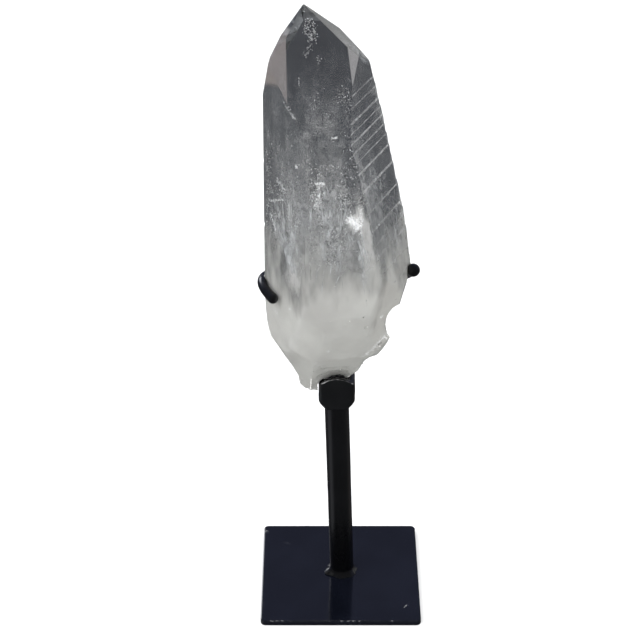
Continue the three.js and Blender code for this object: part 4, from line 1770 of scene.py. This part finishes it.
    def build_streaks(self, skin: Skin) -> bpy.types.Object:
        """The ribbons of all fans in one piece."""
        points, faces = join_parts([fan.grid(skin) for fan in self.fans])
        return new_piece("streaks", points * MM, faces)

    def build_flakes(self, skin: Skin) -> bpy.types.Object:
        """The flakes of all clusters in one piece, which stores each cluster's painted highlight strength.

        Args:
            skin: The body's surface.

        Returns:
            The piece.
        """
        sparkles = self.tip_sparkles + self.root_chips_and_highlights + self.inner_sparkles
        clusters = [sparkle.grid(skin) for sparkle in sparkles]
        points, faces = join_parts(clusters)
        flakes = new_piece("flakes", points * MM, faces, smooth=False)
        painted_glints = [np.full(len(corners), sparkle.painted_glint) for sparkle, (corners, _) in zip(sparkles, clusters)]
        mark_points(flakes, "painted_glint", np.concatenate(painted_glints))
        return flakes

    def build_dust(self, skin: Skin) -> bpy.types.Object:
        """The grains of all layers in one piece, which stores each grain's tone.

        Args:
            skin: The body's surface.

        Returns:
            The piece.
        """
        layers = [dust.grid(skin) for dust in self.dusts]
        points, faces = join_parts([(grains, quads) for grains, quads, _ in layers])
        dust = new_piece("dust", points * MM, faces, smooth=False)
        mark_points(dust, "tone", np.concatenate([tones for _, _, tones in layers]))
        return dust

    def cut_lines(self, triangles: Array, height: float) -> tuple[Array, Array]:
        """Cuts triangles with a level plane.

        Args:
            triangles: Three corners each, in millimetres, all with corners on both sides of the plane.
            height: The plane's height.

        Returns:
            Flat start and end points of each cut.
        """
        above = triangles[..., 2] > height
        lone = np.where(above.sum(axis=1) == 1, above.argmax(axis=1), (~above).argmax(axis=1))
        rows = np.arange(len(triangles))
        tip = triangles[rows, lone]
        ends = []
        for step in (1, 2):
            other = triangles[rows, (lone + step) % 3]
            part = (height - tip[:, 2]) / (other[:, 2] - tip[:, 2])
            ends.append((tip + (other - tip) * part[:, None])[:, :2])
        return ends[0], ends[1]


@dataclass
class Wire:
    """A bent wire arm: a round section carried along a curve through the bends.

    The radius swells towards the weld at the root and towards the tip, along a bell of the distance.
    """

    name: str
    bends_mm: tuple[Point, ...]
    radius_mm: float = 2.45
    tip_radius_mm: float = 2.6
    root_radius_mm: float = 3.1
    root_swell_mm: float = 3.4
    tip_swell_mm: float = 3.0
    uneven_share: float = 0.02
    uneven_cell_mm: float = 5.0
    rings: int = 150
    sides: int = 28

    def route(self) -> Array:
        """Points on a cubic curve through the bends.

        Between two bends the place is (2t^3 - 3t^2 + 1) p1 + (t^3 - 2t^2 + t) out + (3t^2 - 2t^3) p2
        + (t^3 - t^2) into. Out and into are the slopes at both bends, for knots that are spaced by the
        square root of the distance between bends.

        Returns:
            One place a row, in millimetres.
        """
        bends = np.array(self.bends_mm)
        bends = np.vstack([2 * bends[0] - bends[1], bends, 2 * bends[-1] - bends[-2]])
        spans = len(bends) - 3
        steps = np.linspace(0.0, spans, self.rings)
        index = np.minimum(steps.astype(int), spans - 1)
        part = (steps - index)[:, None]
        p0, p1, p2, p3 = (bends[index + k] for k in range(4))
        pairs = ((p0, p1), (p1, p2), (p2, p3))
        before, between, after = (np.linalg.norm(b - a, axis=1, keepdims=True) ** 0.5 for a, b in pairs)
        out = ((p1 - p0) / before - (p2 - p0) / (before + between) + (p2 - p1) / between) * between
        into = ((p2 - p1) / between - (p3 - p1) / (between + after) + (p3 - p2) / after) * between
        square, cube = part**2, part**3
        return (
            (2 * cube - 3 * square + 1) * p1
            + (cube - 2 * square + part) * out
            + (3 * square - 2 * cube) * p2
            + (cube - square) * into
        )

    def build(self, finish: bpy.types.Material) -> None:
        """Makes the wire: rings square to the route, with a half ball at both ends.

        Args:
            finish: The paint.
        """
        line = self.route()
        along = np.gradient(line, axis=0)
        along /= np.linalg.norm(along, axis=1, keepdims=True)
        length = np.concatenate([[0.0], np.cumsum(np.linalg.norm(np.diff(line, axis=0), axis=1))])
        cap = np.linspace(0.0, np.pi / 2, 9)[:-1]
        ahead = self.tip_radius_mm * np.sin(cap[1:])
        behind = self.root_radius_mm * np.sin(cap[1:])[::-1]
        spine = np.vstack([
            line[0] - along[0] * behind[:, None],
            line,
            line[-1] + along[-1] * ahead[:, None],
        ])
        repeats = [len(behind) + 1] + [1] * (len(line) - 2) + [len(ahead) + 1]
        ways = np.repeat(along, repeats, axis=0)
        swell = (self.root_radius_mm - self.radius_mm) * np.exp(-((length / self.root_swell_mm) ** 2))
        to_tip = length[-1] - length
        tip = (self.tip_radius_mm - self.radius_mm) * np.exp(-((to_tip / self.tip_swell_mm) ** 2))
        radius = np.concatenate([
            self.root_radius_mm * np.cos(cap[1:])[::-1],
            self.radius_mm + swell + tip,
            self.tip_radius_mm * np.cos(cap[1:]),
        ])
        side = np.cross(ways, [1.0, 0.0, 0.0])
        side /= np.linalg.norm(side, axis=1, keepdims=True)
        up = np.cross(ways, side)
        turn = np.linspace(0.0, 2 * np.pi, self.sides, endpoint=False)
        ring = side[:, None] * np.cos(turn)[:, None] + up[:, None] * np.sin(turn)[:, None]
        rough = spine[:, None] + ring * radius[:, None, None]
        uneven = layered_noise(rough.reshape(-1, 3), self.uneven_cell_mm, 2, 11).reshape(rough.shape[:2])
        worn = radius[:, None] * (1.0 + self.uneven_share * (uneven - 0.9))
        points = (spine[:, None] + ring * worn[..., None]).reshape(-1, 3)
        wire = new_piece(self.name + "_wire", points * MM, closed_tube(len(spine), self.sides))
        place(wire, finish, Slot.BLACK, self.name)


@dataclass
class Stand:
    """The steel stand: plate, post, seat, putty and two arms.

    Turns are degrees round the post from its right, against the clock. A spread is an angle in radians
    and a height in millimetres over which a bell falls off.
    """

    plate_top_mm: float = 3.0
    post_radius_mm: float = 6.0
    post_foot_mm: Span = (0.9, 2.0)
    post_head_mm: Span = (-2.2, 2.0)
    seat_bottom_mm: float = 106.0
    seat_side_top_mm: float = 120.0
    seat_arch_mm: float = 4.0
    seat_half_mm: float = 9.0
    seat_chamfer_mm: float = 4.0
    seat_wall_mm: float = 2.4
    seat_floor_mm: float = 110.5
    seat_squareness: float = 7.0
    seat_sides: int = 96
    seat_uneven_mm: float = 0.12
    seat_uneven_cell_mm: float = 4.0
    post_sides: int = 64
    sunk_mm: float = 0.03
    uneven_share: float = 0.006
    fillet_mm: float = 2.1
    fillet_height_mm: float = 3.0
    fillet_power: float = 1.6
    bead_share: float = 0.35
    lump_mm: float = 2.4
    lump_turn: float = 202.0
    lump_height_mm: float = 1.1
    lump_spread: Span = (0.3, 1.5)
    bare_share: float = 1.25
    bare_turn: float = 208.0
    bare_height_mm: float = 1.0
    bare_spread: Span = (0.55, 1.3)
    arm_gap_mm: float = 0.3
    putty_cell: float = 0.00032
    putty_lump_mm: float = 0.45
    putty_lump_cell_mm: float = 2.2
    putty_seen: Span = (0.119, 0.122)

    def build(self, effects: Effects) -> None:
        """Makes all pieces of the stand in order, from the plate up.

        Args:
            effects: The shared node groups.
        """
        paint = BlackPaint(
            "black_paint", (0.0016, 0.0017, 0.0021, 1.0), (0.003, 0.0032, 0.004, 1.0), gloss=0.24, wear=0.4
        ).make(effects)
        worn = BlackPaint(
            "seat_paint", (0.0022, 0.0025, 0.0032, 1.0), (0.005, 0.0055, 0.0065, 1.0), gloss=0.3, wear=0.6
        ).make(effects)
        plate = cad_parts["base_plate"]
        plate.data.materials.clear()
        navy = BlackPaint(
            "plate_paint", (0.0032, 0.004, 0.0075, 1.0), (0.0045, 0.0055, 0.01, 1.0), gloss=0.07, wear=0.46,
            ripple=0.04, rim=0.04, bare=(0.19, 0.19, 0.195, 1.0),
        )
        plate.data.materials.append(navy.make(effects))
        LOG.info("base_plate: its own solid, painted")
        self.build_post(paint)
        self.build_seat(worn)
        self.build_putty(effects)
        seat_back = self.post_head_mm[1] + self.seat_half_mm + self.arm_gap_mm
        Wire(
            "left_arm",
            (
                (-7, seat_back + 2.5, 112), (-9, seat_back + 4.5, 124), (-16, 21, 138), (-26, 25.5, 152),
                (-32.5, 22, 162.5), (-35.7, 12, 170.8), (-37.4, 7.2, 171.8), (-37.6, 2.4, 171.8),
                (-36.5, -1.6, 171.2), (-34.6, -4.8, 170.2), (-32.6, -7.5, 169.3),
            ),
        ).build(paint)
        Wire(
            "right_arm",
            (
                (2, seat_back + 2.5, 112), (4.5, seat_back + 4.5, 124), (12, 22, 141), (22.5, 24.5, 157),
                (28.6, 17, 167.5), (31.6, 10.5, 172.9), (33.4, 6, 176.6), (33.6, 2, 179.2),
            ),
            tip_radius_mm=3.3,
        ).build(paint)

    def build_post(self, finish: bpy.types.Material) -> None:
        """A round bar whose radius is a little uneven, and flares into a lumpy weld at its foot.

        The radius at an angle and a height is the bar's radius, plus a fillet that falls off with height
        and varies round the foot, plus one rounded lump of weld on the left.

        Args:
            finish: The paint.
        """
        bottom, top = self.plate_top_mm - self.sunk_mm, self.seat_bottom_mm
        turn = np.linspace(0.0, 2 * np.pi, self.post_sides, endpoint=False)
        height = np.concatenate([np.linspace(bottom, bottom + 4.0, 18), np.linspace(bottom + 5.0, top, 60)])
        share = ((height - bottom) / (top - bottom))[:, None]
        centre = np.array(self.post_foot_mm) * (1 - share) + np.array(self.post_head_mm) * share
        level, angle = np.meshgrid(height - bottom, turn, indexing="ij")
        around = np.stack([np.cos(angle) * 9, np.sin(angle) * 9, level * 0.35], -1).reshape(-1, 3)
        uneven = layered_noise(around, 4.0, 3, 5).reshape(level.shape)
        bead = layered_noise(around * [1, 1, 0.4], 3.0, 3, 9).reshape(level.shape)
        fallen = np.clip(1 - level / self.fillet_height_mm, 0, 1) ** self.fillet_power
        fillet = self.fillet_mm * fallen * (1 + self.bead_share * bead)
        off_turn = (angle - math.radians(self.lump_turn)) / self.lump_spread[0]
        off_height = (level - self.lump_height_mm) / self.lump_spread[1]
        lump = self.lump_mm * np.exp(-(off_turn**2) - off_height**2)
        radius = self.post_radius_mm * (1 + self.uneven_share * uneven) + fillet + lump
        x = centre[:, :1] + radius * np.cos(angle)
        y = centre[:, 1:] + radius * np.sin(angle)
        points = np.stack([x, y, bottom + level], -1).reshape(-1, 3)
        post = new_piece("round_post", points * MM, closed_tube(len(height), self.post_sides))
        off_turn = (angle - math.radians(self.bare_turn)) / self.bare_spread[0]
        off_height = (level - self.bare_height_mm) / self.bare_spread[1]
        mark_points(post, "wear_and_highlight_edge", self.bare_share * np.exp(-(off_turn**2) - off_height**2).ravel())
        place(post, finish, Slot.BLACK, "post")

    def build_seat(self, finish: bpy.types.Material) -> None:
        """A square cup with rounded corners: a profile carried round a rounded square.

        The rounded square is the sign of the cosine or sine times its size to the power 2 / squareness.
        Each level of the profile has a half width, a half depth and a height. The lower corners draw in,
        and the rim rises in the middle by the arch times one minus the square of the place across.

        Args:
            finish: The paint.
        """
        half, chamfer, wall = self.seat_half_mm, self.seat_chamfer_mm, self.seat_wall_mm
        base, floor, side_top = self.seat_bottom_mm, self.seat_floor_mm, self.seat_side_top_mm
        slope = np.linspace(0.0, 1.0, 7)
        outer = [(0.02, 0.02, base)]
        drawn = chamfer * 0.7
        outer += [(half - drawn - 1.0, half - 1.2, base), (half - drawn, half - 0.5, base + 0.15)]
        outer += [(half - drawn * (1 - s) ** 1.3, half, base + 0.5 + (chamfer - 0.3) * s) for s in slope]
        outer += [(half, half, h) for h in np.linspace(base + chamfer + 1.2, side_top - 1.2, 9)]
        hollow = half - wall
        over_rim = [(half - 0.08, 0.5), (half - 0.35, 0.1), (half - 0.9, 0.0)]
        over_rim += [(hollow + 0.5, 0.0), (hollow + 0.1, 0.3)]
        rim = [(reach, reach, side_top - drop) for reach, drop in over_rim]
        inner = [(hollow, hollow, h) for h in np.linspace(side_top - 1.0, floor + 0.5, 6)]
        inner += [(hollow - 0.6, hollow - 0.6, floor), (0.02, 0.02, floor)]
        profile = np.array(outer + rim + inner)
        turn = np.linspace(0.0, 2 * np.pi, self.seat_sides, endpoint=False)
        power = 2.0 / self.seat_squareness
        across = np.sign(np.cos(turn)) * np.abs(np.cos(turn)) ** power
        deep = np.sign(np.sin(turn)) * np.abs(np.sin(turn)) ** power
        x = profile[:, :1] * across
        y = profile[:, 1:2] * deep
        lift = ease_between(profile[:, 2], base + chamfer, side_top - 1.5)[:, None]
        z = profile[:, 2:] + self.seat_arch_mm * (1 - (x / half) ** 2) * lift
        points = np.stack([x + self.post_head_mm[0], y + self.post_head_mm[1], z], -1).reshape(-1, 3)
        pushed = layered_noise(points, self.seat_uneven_cell_mm, 2, 21)
        outward = np.stack([x, y, 0 * x], -1).reshape(-1, 3)
        outward /= np.maximum(np.linalg.norm(outward, axis=1, keepdims=True), 0.5)
        points -= outward * (self.seat_uneven_mm * (pushed + 1.0))[:, None]
        seat = new_piece("seat_cup", points * MM, closed_tube(len(profile), self.seat_sides))
        # Band along the rim's arch: worn paint, and a painted highlight of the arch.
        level = np.arange(len(profile))
        rim_wear_and_highlight = np.exp(-(((level - len(outer) - 0.6) / 0.9) ** 2))
        mark_points(seat, "wear_and_highlight_edge", np.repeat(rim_wear_and_highlight, self.seat_sides))
        place(seat, finish, Slot.BLACK, "stone_seat")

    def build_putty(self, effects: Effects) -> None:
        """The putty solid, evened out into small cells and pressed into lumps by layered noise.

        Args:
            effects: The shared node groups.
        """
        putty = merged_copy("seat_putty", "pressed_putty", 1.0, -1.0)
        remesh = putty.modifiers.new("even", "REMESH")
        remesh.mode = "VOXEL"
        remesh.voxel_size = self.putty_cell
        evaluated = putty.evaluated_get(bpy.context.evaluated_depsgraph_get())
        mesh = bpy.data.meshes.new_from_object(evaluated)
        putty.modifiers.clear()
        putty.data = mesh
        points = points_of(mesh)
        lumps = layered_noise(points, self.putty_lump_cell_mm * MM, 3, 31)
        high = ease_between(points[:, 2], *self.putty_seen)
        points += normals_of(mesh) * (self.putty_lump_mm * MM * lumps * high)[:, None]
        move_points(mesh, points)
        mesh.shade_smooth()
        mesh.materials.clear()
        black = BlackPaint(
            "black_putty", (0.006, 0.006, 0.007, 1.0), (0.012, 0.012, 0.013, 1.0), gloss=0.34, wear=0.2
        )
        place(putty, black.make(effects), Slot.PUTTY, "seat_putty")


def main() -> None:
    """Builds the camera, the studio, the stand and the crystal."""
    logging.basicConfig(level=logging.INFO, format="%(name)s %(message)s")
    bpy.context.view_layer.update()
    Photographer().build()
    Studio().build()
    effects = Effects()
    Stand().build(effects)
    Crystal().build(effects)


if __name__ == "__main__":
    main()
